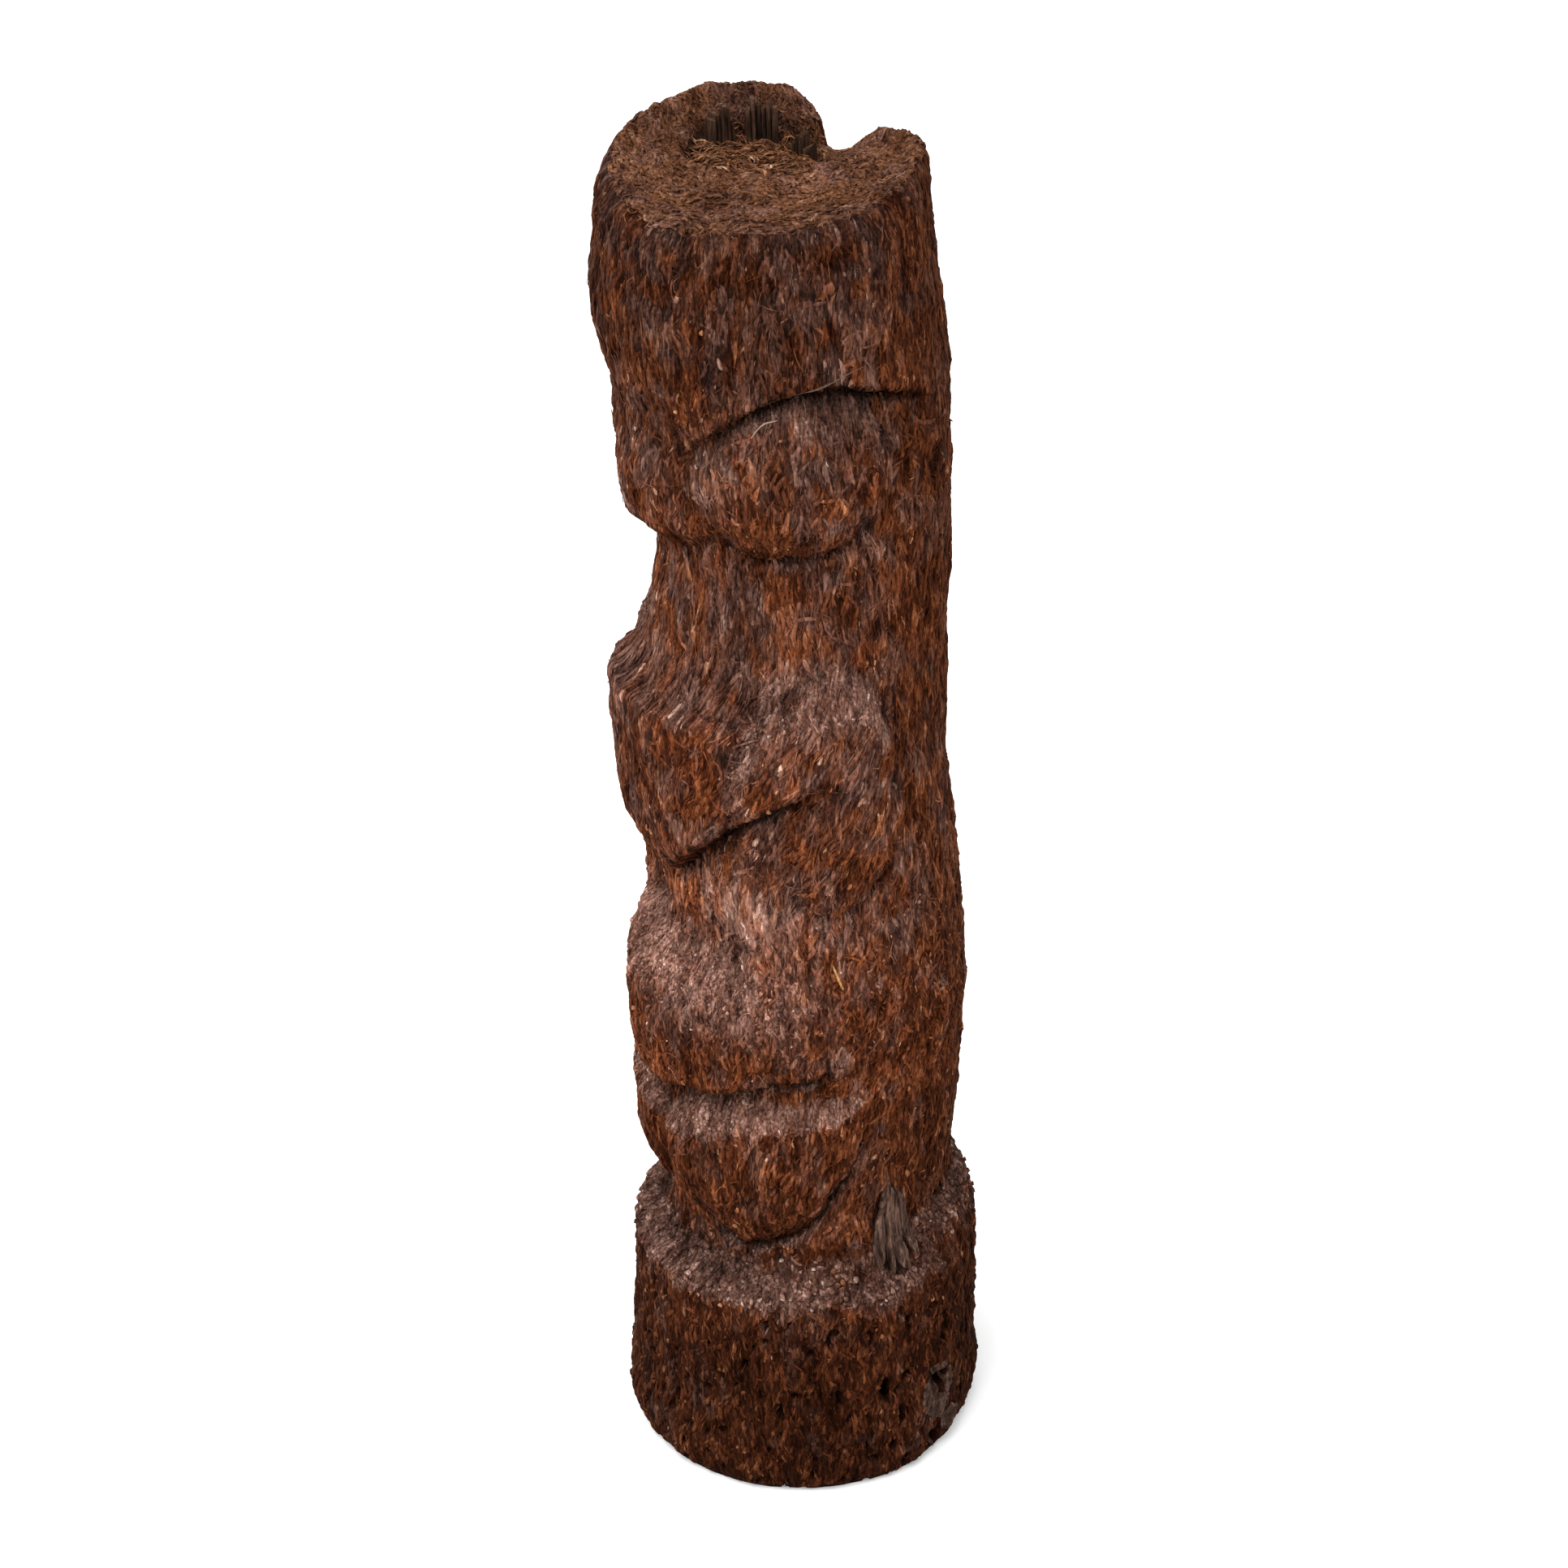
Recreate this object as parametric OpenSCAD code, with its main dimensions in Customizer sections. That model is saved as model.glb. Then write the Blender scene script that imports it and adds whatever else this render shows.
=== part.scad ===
// Standing tiki figure carved from one length of tree-fern trunk.
// The trunk grows as separate tissues: a thick mantle of matted roots, a ring of hard woody
// plates inside it and soft pith in the middle. The carver cut the figure into the mantle.
// The figure stands on z = 0, looks along -Y, and its left hand side is +X. Millimetres.

/* [Trunk] */
// Height of the rim above the flat bottom
trunk_h = 588; // [570:1:610]
// Largest diameter of the base block, near the floor
base_d = 150; // [146:1:156]
// Height of the base block at its outer edge
base_h = 96; // [90:1:100]
// How far the outer edge of the top is rounded off
rim_round = 4; // [3:0.5:9]
// How far the top has leant towards the figure's right
top_lean = 2.5; // [0:0.5:5]
// Depth of the dished top, from the highest part of the rim to the edge of the crater
dish_depth = 9.5; // [7:0.5:12]
// Depth of the broken notch in the rim at the back
notch_depth = 24; // [12:1:28]
// How much nearer the crater's edge comes to the core on the side of the thickest roots
crater_near = 5; // [0:0.5:6]

/* [Carving] */
// How steeply an overhanging form is cut back under its lower edge
undercut = 3; // [2:0.25:4]
// Radius at the crest of each eye
eye_r = 68; // [66:0.5:70]
// Radius along the bridge of the nose
nose_r = 65.3; // [63:0.1:67]
// Radius at the shoulders
shoulder_r = 71.5; // [69:0.5:73]
// Radius at the elbows
elbow_r = 68.5; // [66:0.5:70]
// Radius at the front of the belly
belly_r = 69.3; // [67:0.1:71]
// Radius at the knees
knee_r = 67.8; // [66:0.1:70]
// Depth of the groove between the legs
leg_groove = 5; // [0:0.5:8]
// Depth of the hollow between the cheek and the shoulder
cheek_depth = 5; // [0:0.5:8]
// How far the top of the belly swells under the arm
waist_swell = 6; // [0:0.5:8]

/* [Woody core] */
// Outside diameter of the ring of woody plates
stele_d = 50; // [46:1:52]
// Thickness of one woody plate
plate_t = 5; // [3:0.5:6]
// Gap between neighbouring plates
plate_gap = 4; // [3:0.5:6]
// Clearance between the tissues, which are dry and no longer grown together
tissue_gap = 0.3; // [0.2:0.05:0.5]
// How far the core has wandered from the trunk's axis at the top
core_drift = 22; // [10:1:24]
// Direction of that wandering, in degrees from the face towards the figure's left
core_drift_angle = -107; // [-130:1:-90]

/* [Hidden] */

// Heights and radii below are those of a trunk of the nominal size and follow its real size.
nominal_h = 588;
nominal_base_d = 150;
scale_z = trunk_h / nominal_h;
scale_r = base_d / nominal_base_d;

mantle_sides = 56;
bore_r = stele_d / 2 + tissue_gap;
crater_r = bore_r + 6.2;
crater_near_angle = 60;

// Surface between the raised forms, as [height, radius], at the face, at the side and behind.
face_ground = [[0, 72], [5, 75], [12, 76], [20, 75.8], [28, 74.6], [44, 72.4], [70, 71], [91, 70.4],
    [96, 68.5], [100, 64.5], [104, 60], [110, 56], [118, 54.5], [126, 55.5], [150, 57], [218, 57],
    [240, 54], [262, 50], [280, 52], [370, 51], [392, 49], [425, 47.5], [450, 50], [496, 55], [513, 60]];
side_ground = [[0, 71.5], [5, 74.3], [10, 75], [26, 75], [50, 73], [90, 72.4],
    [97, 70.5], [104, 65], [112, 61.5], [124, 60], [150, 58.5], [190, 59.5], [215, 62], [235, 65],
    [255, 63], [272, 60.5], [313, 60.5], [370, 58.5], [400, 57.5], [496, 57.5], [513, 60]];
back_ground = [[0, 69], [5, 71.5], [10, 72.8], [18, 73.5], [40, 73], [96, 73],
    [103, 72], [110, 70.4], [116, 69], [120, 64.8], [124, 62], [132, 63.8], [140, 64.2], [148, 65.2],
    [163, 67], [184, 68.4], [204, 69.2], [218, 70.2], [234, 69.6], [254, 68.4], [274, 67.8], [294, 65.8],
    [313, 63.6], [332, 63.3], [388, 63.6], [425, 65.6], [450, 66.8], [484, 66.5], [510, 65.2],
    [530, 64.4], [548, 62.3], [564, 61], [588, 59.8]];

// Headdress, from the brow to the rim.
face_head = [[470, 58], [491, 60.5], [500, 63.5], [512, 67], [526, 69.2], [543, 69],
    [560, 67.2], [576, 65.4], [588, 63.5]];
side_head = [[480, 64], [509, 66], [540, 65.5], [570, 64], [588, 62]];

// Crest lines of the nose, the muzzle, the belly and the knees, as [height, radius].
nose_crest = [[432, 44], [438, 49], [443, 57], [448, 63], [454, 64.4], [462, 65], [474, 65.3],
    [482, 64], [495, 63.5], [505, 65.2]];
muzzle_crest = [[252, 46], [264, 50], [270, 53.5], [284, 57], [292, 59.5], [300, 63.5], [308, 67.6],
    [316, 69.4], [335, 70.2], [360, 70.4], [366, 70.2], [372, 68.8], [376, 65], [380, 58.5], [384, 54.5],
    [392, 52.2], [404, 51.8], [412, 50], [422, 47.5], [434, 45.5]];
belly_crest = [[180, 67], [195, 68.4], [206, 69.3], [220, 69.3], [228, 68.2], [237, 64.5],
    [245, 58.5], [252, 52], [262, 48], [280, 47]];

// Lower edges of the overhanging forms, as [degrees from the face, height].
brow_edge = [[0, 466], [12, 471], [23, 485], [32, 494], [41, 501.5], [55, 511], [73, 517], [86, 516],
    [102, 509], [120, 500], [140, 496]];
arm_edge = [[0, 288], [14, 299], [28, 315], [40, 325], [50, 334], [60, 342], [69, 348], [80, 350]];
belly_edge = [[0, 187], [20, 193], [38, 200], [52, 204], [67, 206], [84, 209], [97, 213]];
knee_foot = [[0, 126], [20, 122], [28, 118], [36, 114], [50, 115], [60, 119], [68, 125], [76, 137],
    [84, 151], [92, 167], [97, 182]];
// How strongly the arm's lower edge is cut, as [degrees from the face, share].
arm_share = [[0, 1], [56, 1], [66, 0.35], [76, 0], [180, 0]];

// How far the rim lies below its highest part all round, as [angle, drop], and how much of the
// notch's depth is reached at each angle.
rim_low = [[0, 12], [14, 13], [40, 11], [70, 9], [110, 8], [135, 6], [150, 4.5], [167, 6.5], [222, 6],
    [231, 3], [238, 1.5], [262, 0], [300, 1], [330, 5], [350, 10.5], [360, 12]];
notch_share = [[173, 0], [187, 0.15], [194, 0.4], [200, 0.67], [204.5, 0.86], [207, 0.9], [217, 0.96],
    [218.5, 0.94], [220, 0.73], [222, 0.29], [227, 0.04], [231, 0]];
// How far the crater's edge lies below the dish's depth, as [angle about the core, drop].
lip_low = [[0, 1.5], [60, 0], [125, 0.5], [140, 2.5], [150, 4.5], [170, 9.5], [180, 12.5], [190, 15.5],
    [200, 16.5], [207, 11.5], [214, 4.5], [222, 0.5], [300, 0.5], [360, 1.5]];

// Heights of the rings of points up the outside; those above the crown follow the rim.
crown_z = 544;
wall_z = concat([0, 3, 10, 24], [for (z = [40 : 14 : 82]) z], [90, base_h - 1, base_h + 5],
    [for (z = [108 : 7 : 180]) z], [for (z = [186 : 6 : 216]) z], [for (z = [225 : 8.5 : 281]) z],
    [for (z = [286 : 6.5 : 350]) z], [for (z = [358 : 8 : 430]) z], [for (z = [435 : 6 : 530]) z],
    [538, crown_z, 555, 566, 576, 583, nominal_h - 1.5]);
top_steps = [0, 0.12, 0.3, 0.5, 0.7, 0.86, 1];

// The core is made this much longer at the foot, so that the floor cuts it off square.
core_foot = 20;
plate_n = 8;
// Angle of the first plate's middle, and the height and side slope of each plate's broken top.
plate_start = -120;
plate_tops = [585, 583, 564, 560, 556, 552, 556, 573];
plate_slopes = [8, -12, 15, -10, 6, -14, 12, -8];
plate_edge_r = 0.62 * plate_t;
pith_r = stele_d / 2 - 2 * plate_edge_r - tissue_gap;
pith_top = 546;
pith_hollow_r = 0.75 * pith_r;
ray_drop = 6;

// Leaf-trace wood, as [angle, height, half width, half height] of each flat pointed piece.
trace_gap = 0.8;
trace_t = 2.2;
upper_splinters = [[92.5, 121, 3.4, 14], [99.5, 123, 3.7, 18], [106, 123, 2.6, 14]];
lower_pieces = [[111.5, 33, 8.5, 11], [117.5, 13, 6.5, 5.5]];

// Loose roots, as [angle, height, height above the surface] of each bend.
stray_r = 0.6;
stray_joint_r = 0.75;
brow_root = [[53, 497.5, 1.7], [55, 501.5, 2.3], [57.5, 504.3, 2.6], [60, 505.2, 2.4], [62.5, 505.4, 1.9]];
belly_root = [[75.8, 260.5, 1.5], [76.8, 257, 2.1], [77.8, 253, 2], [79, 249.5, 1.5]];

function ease(t) = let (c = min(1, max(0, t))) c * c * (3 - 2 * c);
function hill(t) = exp(-t * t);
function smooth_max(a, b, k) = max(a, b) + pow(max(0, k - abs(a - b)), 2) / (4 * k);
function mix(a, b, t) = a * (1 - t) + b * t;
function cut_under(edge, z, share) = undercut * share * max(0, edge - z);

// Share of the face's profile and of the back's profile at an angle from the face.
function face_share(a) = 1 - ease((a - 30) / 30);
function back_share(a) = ease((a - 88) / 42);
function blend3(face, side, back, a) =
    let (f = face_share(a), b = back_share(a)) face * f + back * b + side * (1 - f - b);

// A rounded form that falls away from its crest; right and down grow with angle and depth.
function form(a, z, mid_a, mid_z, half_a, up, down, crest, drop, flat) =
    let (v = z > mid_z ? (z - mid_z) / up : (mid_z - z) / down, u = (a - mid_a) / half_a)
    crest - drop * pow(u * u + v * v, flat);

function ground(a, z) =
    blend3(lookup(z, face_ground), lookup(z, side_ground), lookup(z, back_ground), a)
    - cheek_depth * hill((a - 53) / 11) * hill((z - 424) / 26)
    + waist_swell * hill((a - 46) / 13) * ease((z - 258) / 18) * ease((340 - z) / 14);
function headdress(a, z) =
    blend3(lookup(z, face_head), lookup(z, side_head), lookup(z, back_ground), a)
    - cut_under(lookup(a, brow_edge), z, 0.3 + 0.7 * ease((a - 18) / 24))
    - 2.5 * hill((a - 72) / 4) * hill((z - 566) / 18);
function nose(a, z) = lookup(z, nose_crest) + nose_r - 65.3 - 4.5 * pow(a / 22, 2.4);
function eye(a, z) = form(a, z, 68, 473, 44, 44, 31, eye_r, 12, 1.5);
function muzzle(a, z) =
    lookup(z, muzzle_crest) - 10 * pow(a / 53, 3.6) - cut_under(lookup(a, arm_edge), z, 1);
function shoulder(a, z) =
    let (inner = 40 + 0.4 * max(0, z - 350))
    form(a, z, (inner + 106) / 2, 350, (106 - inner) / 2, 40, 62, shoulder_r, 12, 1.9)
    - cut_under(lookup(a, arm_edge), z, lookup(a, arm_share));
function elbow(a, z) = form(a, z, 78, 320, 28, 40, 39, elbow_r, 8.5, 1.3);
function belly(a, z) =
    lookup(z - 12 * ease(a / 70), belly_crest) + belly_r - 69.3 - 3.5 * pow(a / 75, 4)
    - 8 * pow(max(0, a - 84) / 16, 2) - cut_under(lookup(a, belly_edge), z, 1);
function knee(a, z) =
    knee_r - 14 * pow(max(0, lookup(a, knee_foot) + 42 - z) / 42, 3)
    - 0.8 * max(0, z - lookup(a, belly_edge) + 22) - 9 * pow(max(0, a - 38) / 62, 3)
    - leg_groove * hill(a / 6);

// Radius of the carved surface at an angle from the face and a nominal height.
function carved_r(a, z) =
    let (g = z > 505 ? headdress(a, z) : smooth_max(ground(a, z), headdress(a, z), 2))
    z < base_h || z > 530 ? (z < base_h ? ground(a, z) : headdress(a, z))
    : z < 290 ? smooth_max(smooth_max(smooth_max(g, belly(a, z), 2), knee(a, z), 2),
        smooth_max(elbow(a, z), muzzle(a, z), 2), 2)
    : z < 402 ? smooth_max(smooth_max(g, elbow(a, z), 2), smooth_max(shoulder(a, z), muzzle(a, z), 9), 2)
    : smooth_max(smooth_max(g, nose(a, z), 3), smooth_max(eye(a, z), muzzle(a, z), 2), 2);

// Folds a signed angle to the distance from the face, 0 to 180 degrees.
function from_face(phi) = abs(phi > 180 ? phi - 360 : phi);

// Height of the rim round the top: low over the face, with a notch broken out of the back.
function rim_z(phi) = nominal_h - lookup(phi, rim_low) - notch_depth * lookup(phi, notch_share);

function ring_z(z, phi) =
    z <= crown_z ? z : crown_z + (z - crown_z) * (rim_z(phi) - crown_z) / (nominal_h - crown_z);
// The trunk leans a little to the figure's right above the shoulders.
function lean_x(z) = -top_lean * ease((z - 380) / (nominal_h - 380));
function outside(phi, r, z) = [scale_r * r * sin(phi) + lean_x(z), -scale_r * r * cos(phi), scale_z * z];

// Centre of the woody core at a real height.
function core_at(z) = core_drift * z / trunk_h * [sin(core_drift_angle), -cos(core_drift_angle)];
function core_point(phi, r, z) =
    let (c = core_at(z)) [c[0] + r * sin(phi), c[1] - r * cos(phi), z];

// How much of a direction points to the near side of the core, where the trunk is thickest.
function thick_side(phi) = (1 - cos(phi - core_drift_angle)) / 2;
function lip_z(phi) = nominal_h - dish_depth - lookup(phi, lip_low);
function mouth_z(phi) = scale_z * (lip_z(phi) - 7 - 6 * thick_side(phi));

function wall_ring(z) = [for (i = [0 : mantle_sides - 1])
    let (phi = 360 * i / mantle_sides, a = from_face(phi), zr = ring_z(z, phi),
        round = rim_round * pow(max(0, z - nominal_h + 20) / 20, 3))
    outside(phi, carved_r(a, z) - round, zr)];
function top_ring(t) = [for (i = [0 : mantle_sides - 1])
    let (phi = 360 * i / mantle_sides, a = from_face(phi),
        rim = outside(phi, carved_r(a, nominal_h) - rim_round - 1, rim_z(phi)),
        mouth = core_point(phi, bore_r, mouth_z(phi)),
        near = crater_near * ease(cos(phi - crater_near_angle)),
        lip = core_point(phi, crater_r - near, scale_z * lip_z(phi)))
    t < 0.86 ? mix(rim, lip, t / 0.86) : mix(lip, mouth, (t - 0.86) / 0.14)];
function bore_ring(z) = [for (i = [0 : mantle_sides - 1]) core_point(360 * i / mantle_sides, bore_r, z)];
function bore_foot(t) = [for (i = [0 : mantle_sides - 1])
    let (phi = 360 * i / mantle_sides) core_point(phi, bore_r, mix(mouth_z(phi), 0, t))];

// Closes rings of points into a tube whose last ring meets its first.
module ring_torus(rings) {
    sides = len(rings[0]);
    count = len(rings);
    polyhedron(
        points = [for (ring = rings) each ring],
        faces = [for (j = [0 : count - 1]) for (i = [0 : sides - 1])
            let (k = (j + 1) % count, n = (i + 1) % sides,
                p = j * sides + i, q = j * sides + n, s = k * sides + n, t = k * sides + i,
                rising = norm(rings[j][i] - rings[k][n]) < norm(rings[j][n] - rings[k][i]))
            each rising ? [[p, s, q], [p, t, s]] : [[p, t, q], [q, t, s]]]);
}

module root_mantle() {
    color("#5a2f1c")
        ring_torus(concat(
            [for (z = wall_z) wall_ring(z)],
            [for (t = top_steps) top_ring(t)],
            [for (t = [0.3 : 0.35 : 1]) bore_foot(t)]));
}

// The core leans with the trunk, and everything in it is cut off flat at the floor.
module lean_core() {
    lean = atan(core_drift / trunk_h);
    intersection() {
        rotate([0, 0, core_drift_angle - 90]) rotate([0, lean, 0]) rotate([0, 0, 90 - core_drift_angle])
            translate([0, 0, -core_foot]) children();
        translate([-base_d, -base_d, 0]) cube([2 * base_d, 2 * base_d, 2 * trunk_h]);
    }
}

// Woody plate n: a curved plank with thickened edges, broken off at its own height and slope.
module woody_plate(n) {
    step = 360 / plate_n;
    middle = plate_start + (n - 1) * step;
    outer = stele_d / 2;
    half_gap = plate_gap / 2;
    length = core_foot + scale_z * plate_tops[n - 1];
    color("#2b211c") lean_core() rotate([0, 0, middle - 90]) difference() {
        linear_extrude(height = length) plate_outline(outer, step, half_gap);
        translate([outer - plate_t / 2, 0, length]) rotate([plate_slopes[n - 1], -20, 0])
            translate([-outer, -outer, 0]) cube(2 * outer);
    }
}

// Cross-section of one plate, which lies round +X.
module plate_outline(outer, step, half_gap) {
    edge_angle = step / 2 - asin((half_gap + plate_edge_r) / (outer - plate_edge_r));
    intersection() {
        difference() {
            circle(r = outer, $fn = 96);
            circle(r = outer - plate_t, $fn = 96);
        }
        polygon([[0, 0], 2 * outer * [cos(edge_angle), -sin(edge_angle)], [2 * outer, 0],
            2 * outer * [cos(edge_angle), sin(edge_angle)]]);
    }
    for (side = [-1, 1])
        rotate([0, 0, side * edge_angle]) translate([outer - plate_edge_r, 0])
            circle(r = plate_edge_r, $fn = 24);
}

// Soft pith, rotted down to a hollow at the top, with a ray of it between each pair of plates.
module pith_core() {
    step = 360 / plate_n;
    ray_t = plate_gap - 2 * tissue_gap;
    length = core_foot + scale_z * pith_top;
    color("#6b4a30") lean_core() difference() {
        union() {
            cylinder(r = pith_r, h = length, $fn = 64);
            for (n = [0 : plate_n - 1])
                rotate([0, 0, plate_start + (n + 0.5) * step - 90])
                    translate([0, -ray_t / 2, 0])
                        cube([stele_d / 2 - tissue_gap, ray_t, length - ray_drop]);
        }
        translate([0, 0, length]) sphere(r = pith_hollow_r, $fn = 48);
    }
}

// Radius of the carved surface in real millimetres, at an angle and a nominal height.
function skin_r(phi, z) = scale_r * carved_r(from_face(phi), z);

// Distance from the axis at which a flat piece this wide and high clears the surface behind it.
function seat_r(phi, z, half_w, half_h) =
    let (low = skin_r(phi, z - half_h), high = skin_r(phi, z + half_h),
        turn = asin(half_w / max(low, high)))
    (low + high) / 2 + max([for (u = [-1 : 0.5 : 1]) for (t = [-1 : 0.25 : 1])
        skin_r(phi + u * turn * sqrt(1 - t * t), z + t * half_h) * cos(u * turn * sqrt(1 - t * t))
        - mix(low, high, (t + 1) / 2)]);

// A flat piece of old leaf-trace wood, pointed above and below, lying on the carved surface.
module leaf_trace(phi, z, half_w, half_h) {
    slope = atan((skin_r(phi, z - half_h) - skin_r(phi, z + half_h)) / (2 * half_h));
    arc_r = (half_w * half_w + half_h * half_h) / (2 * half_w);
    rotate([0, 0, phi]) translate([0, -seat_r(phi, z, half_w, half_h) - trace_gap, scale_z * z])
        rotate([90 - slope, 0, 0]) intersection() {
            translate([half_w - arc_r, 0, 0]) cylinder(r = arc_r, h = trace_t, $fn = 180);
            translate([arc_r - half_w, 0, 0]) cylinder(r = arc_r, h = trace_t, $fn = 180);
        }
}

// Three split splinters of grey wood side by side above the base block.
module leaf_trace_upper() {
    color("#4a4340") for (splinter = upper_splinters)
        leaf_trace(splinter[0], splinter[1], splinter[2], splinter[3]);
}

// A worn grey patch with a rotted hole beside it, low on the base block.
module leaf_trace_lower() {
    color("#6a5f57") for (piece = lower_pieces)
        leaf_trace(piece[0], piece[1], piece[2], piece[3]);
}

// One loose root lying over the surface: straight lengths that meet in a thickened bend.
function root_at(p) = outside(p[0], carved_r(from_face(p[0]), p[1]) + p[2], p[1]);
module loose_root(route) {
    for (i = [0 : len(route) - 2]) {
        start = root_at(route[i]);
        along = root_at(route[i + 1]) - start;
        translate(start) rotate([0, acos(along[2] / norm(along)), atan2(along[1], along[0])])
            cylinder(r = stray_r, h = norm(along), $fn = 12);
    }
    for (bend = route) translate(root_at(bend)) sphere(r = stray_joint_r, $fn = 16);
}

// A pale root that has sprung loose under the brow.
module stray_root_brow() {
    color("#b9a08c") loose_root(brow_root);
}

// A straw-coloured root lying on the side of the belly.
module stray_root_belly() {
    color("#b87335") loose_root(belly_root);
}

root_mantle();
pith_core();
woody_plate(1);  // woody_plate_1
woody_plate(2);  // woody_plate_2
woody_plate(3);  // woody_plate_3
woody_plate(4);  // woody_plate_4
woody_plate(5);  // woody_plate_5
woody_plate(6);  // woody_plate_6
woody_plate(7);  // woody_plate_7
woody_plate(8);  // woody_plate_8
leaf_trace_upper();
leaf_trace_lower();
stray_root_brow();
stray_root_belly();
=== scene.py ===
"""Tiki figure carved from a tree-fern trunk: the looks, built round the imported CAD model."""

import math

import bpy
import numpy as np
from mathutils import Matrix, Vector
from mathutils.bvhtree import BVHTree


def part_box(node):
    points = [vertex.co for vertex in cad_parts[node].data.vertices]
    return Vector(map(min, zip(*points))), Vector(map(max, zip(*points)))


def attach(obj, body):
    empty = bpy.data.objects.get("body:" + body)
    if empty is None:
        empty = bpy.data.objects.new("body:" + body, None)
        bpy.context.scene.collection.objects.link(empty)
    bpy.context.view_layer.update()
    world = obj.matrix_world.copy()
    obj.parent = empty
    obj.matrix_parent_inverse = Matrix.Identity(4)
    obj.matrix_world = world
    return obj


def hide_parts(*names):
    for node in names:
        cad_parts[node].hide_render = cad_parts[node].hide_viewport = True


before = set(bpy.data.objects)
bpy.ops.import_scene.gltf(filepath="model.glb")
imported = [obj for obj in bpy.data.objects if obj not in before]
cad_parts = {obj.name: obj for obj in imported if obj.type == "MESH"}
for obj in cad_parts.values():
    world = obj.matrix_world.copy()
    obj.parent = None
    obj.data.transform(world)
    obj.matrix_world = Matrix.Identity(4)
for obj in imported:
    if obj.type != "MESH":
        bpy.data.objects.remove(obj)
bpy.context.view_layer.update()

MM = 0.001
BAKE_UV = "OFBake"

# ---------- the carved shape, in millimetres
# Angles are in degrees from the face (-Y), positive towards the figure's left (+X).
NOMINAL_H = 588.0
NOMINAL_D = 150.0
BASE_H = 96.0
CROWN_Z = 544.0
UNDERCUT = 3.0

mantle_lo, mantle_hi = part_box("root_mantle")
SCALE_Z = (mantle_hi.z - mantle_lo.z) / MM / NOMINAL_H
SCALE_R = (mantle_hi.x - mantle_lo.x) / MM / NOMINAL_D

CURVES = {
    "face_ground": [[0, 72], [5, 75], [12, 76], [20, 75.8], [28, 74.6], [44, 72.4], [70, 71], [91, 70.4],
        [95, 68.5], [98, 64.5], [101, 60], [106, 56], [116, 54.5], [126, 55.5], [150, 57], [218, 57],
        [240, 54], [262, 50], [280, 52], [370, 51], [392, 49], [425, 47.5], [450, 50], [496, 55], [513, 60]],
    "side_ground": [[0, 71.5], [5, 74.3], [10, 75], [26, 75], [50, 73], [90, 72.4],
        [97, 70.5], [104, 65], [112, 61.5], [124, 60], [150, 58.5], [190, 59.5], [215, 62], [235, 65],
        [255, 63], [272, 60.5], [313, 60.5], [370, 58.5], [400, 57.5], [496, 57.5], [513, 60]],
    "back_ground": [[0, 69], [5, 71.5], [10, 72.8], [18, 73.5], [40, 73], [96, 73],
        [101, 72], [106, 70.4], [111, 69], [115, 64.8], [120, 62], [130, 63.6], [140, 64.2], [148, 65.2],
        [163, 67], [184, 68.4], [204, 69.2], [218, 70.2], [234, 69.6], [254, 68.4], [274, 67.8], [294, 65.8],
        [313, 63.6], [332, 63.3], [388, 63.6], [425, 65.6], [450, 66.8], [484, 66.5], [510, 65.2],
        [530, 64.4], [548, 62.3], [564, 61], [588, 59.8]],
    "face_head": [[470, 58], [491, 60.5], [500, 63.5], [512, 67], [526, 69.2], [543, 69],
        [560, 67.2], [576, 65.4], [588, 63.5]],
    "side_head": [[480, 64], [509, 66], [540, 65.5], [570, 64], [588, 62]],
    "nose_crest": [[432, 44], [438, 49], [443, 57], [448, 63], [454, 64.4], [462, 65], [474, 65.3],
        [482, 64], [495, 63.5], [505, 65.2]],
    "muzzle_crest": [[252, 46], [264, 50], [270, 53.5], [284, 57], [292, 59.5], [300, 63.5], [308, 67.6],
        [316, 69.4], [335, 70.2], [360, 70.6], [366, 70.8], [370, 70], [372, 65], [376, 61.5],
        [381, 58], [386, 55], [392, 53], [404, 51.8], [412, 50], [422, 47.5], [434, 45.5]],
    "belly_crest": [[180, 67], [195, 68.4], [206, 69.3], [220, 69.3], [228, 68.2], [237, 64.5],
        [245, 58.5], [252, 52], [262, 48], [280, 47]],
    "brow_edge": [[0, 466], [12, 471], [23, 485], [32, 494], [41, 501.5], [55, 511], [73, 517], [86, 516],
        [102, 509], [120, 500], [140, 496]],
    "arm_edge": [[0, 288], [14, 299], [28, 315], [40, 325], [50, 334], [60, 342], [69, 348], [80, 350]],
    "belly_edge": [[0, 187], [20, 193], [38, 200], [52, 204], [67, 206], [84, 209], [97, 213]],
    "knee_foot": [[0, 126], [20, 122], [28, 118], [36, 114], [50, 115], [60, 119], [68, 125], [76, 137],
        [84, 151], [92, 167], [97, 182]],
    "arm_share": [[0, 1], [56, 1], [66, 0.35], [76, 0], [180, 0]],
    "rim": [[0, 576], [14, 575], [40, 577], [70, 579], [110, 580], [135, 582], [150, 583.5], [158, 582.5],
        [167, 581.5], [180, 580.5], [187, 578.5], [190, 576.5], [194, 572.5], [197.5, 569], [200, 566],
        [202.3, 563], [204.5, 561.5], [207, 560.5], [213, 560], [217, 559], [218.5, 559.5], [220, 564.5],
        [222, 575], [227, 581.5], [231, 585], [238, 586.5], [262, 588], [300, 587], [330, 583],
        [350, 577.5], [360, 576]],
    "lip": [[0, 577], [60, 578.5], [125, 578], [140, 576], [150, 574], [170, 569], [180, 566],
        [190, 563], [200, 562], [207, 567], [214, 574], [222, 578], [300, 578], [360, 577]],
}
CURVES = {name: np.array(points, float) for name, points in CURVES.items()}


def lookup(x, name):
    points = CURVES[name]
    return np.interp(x, points[:, 0], points[:, 1])


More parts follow.
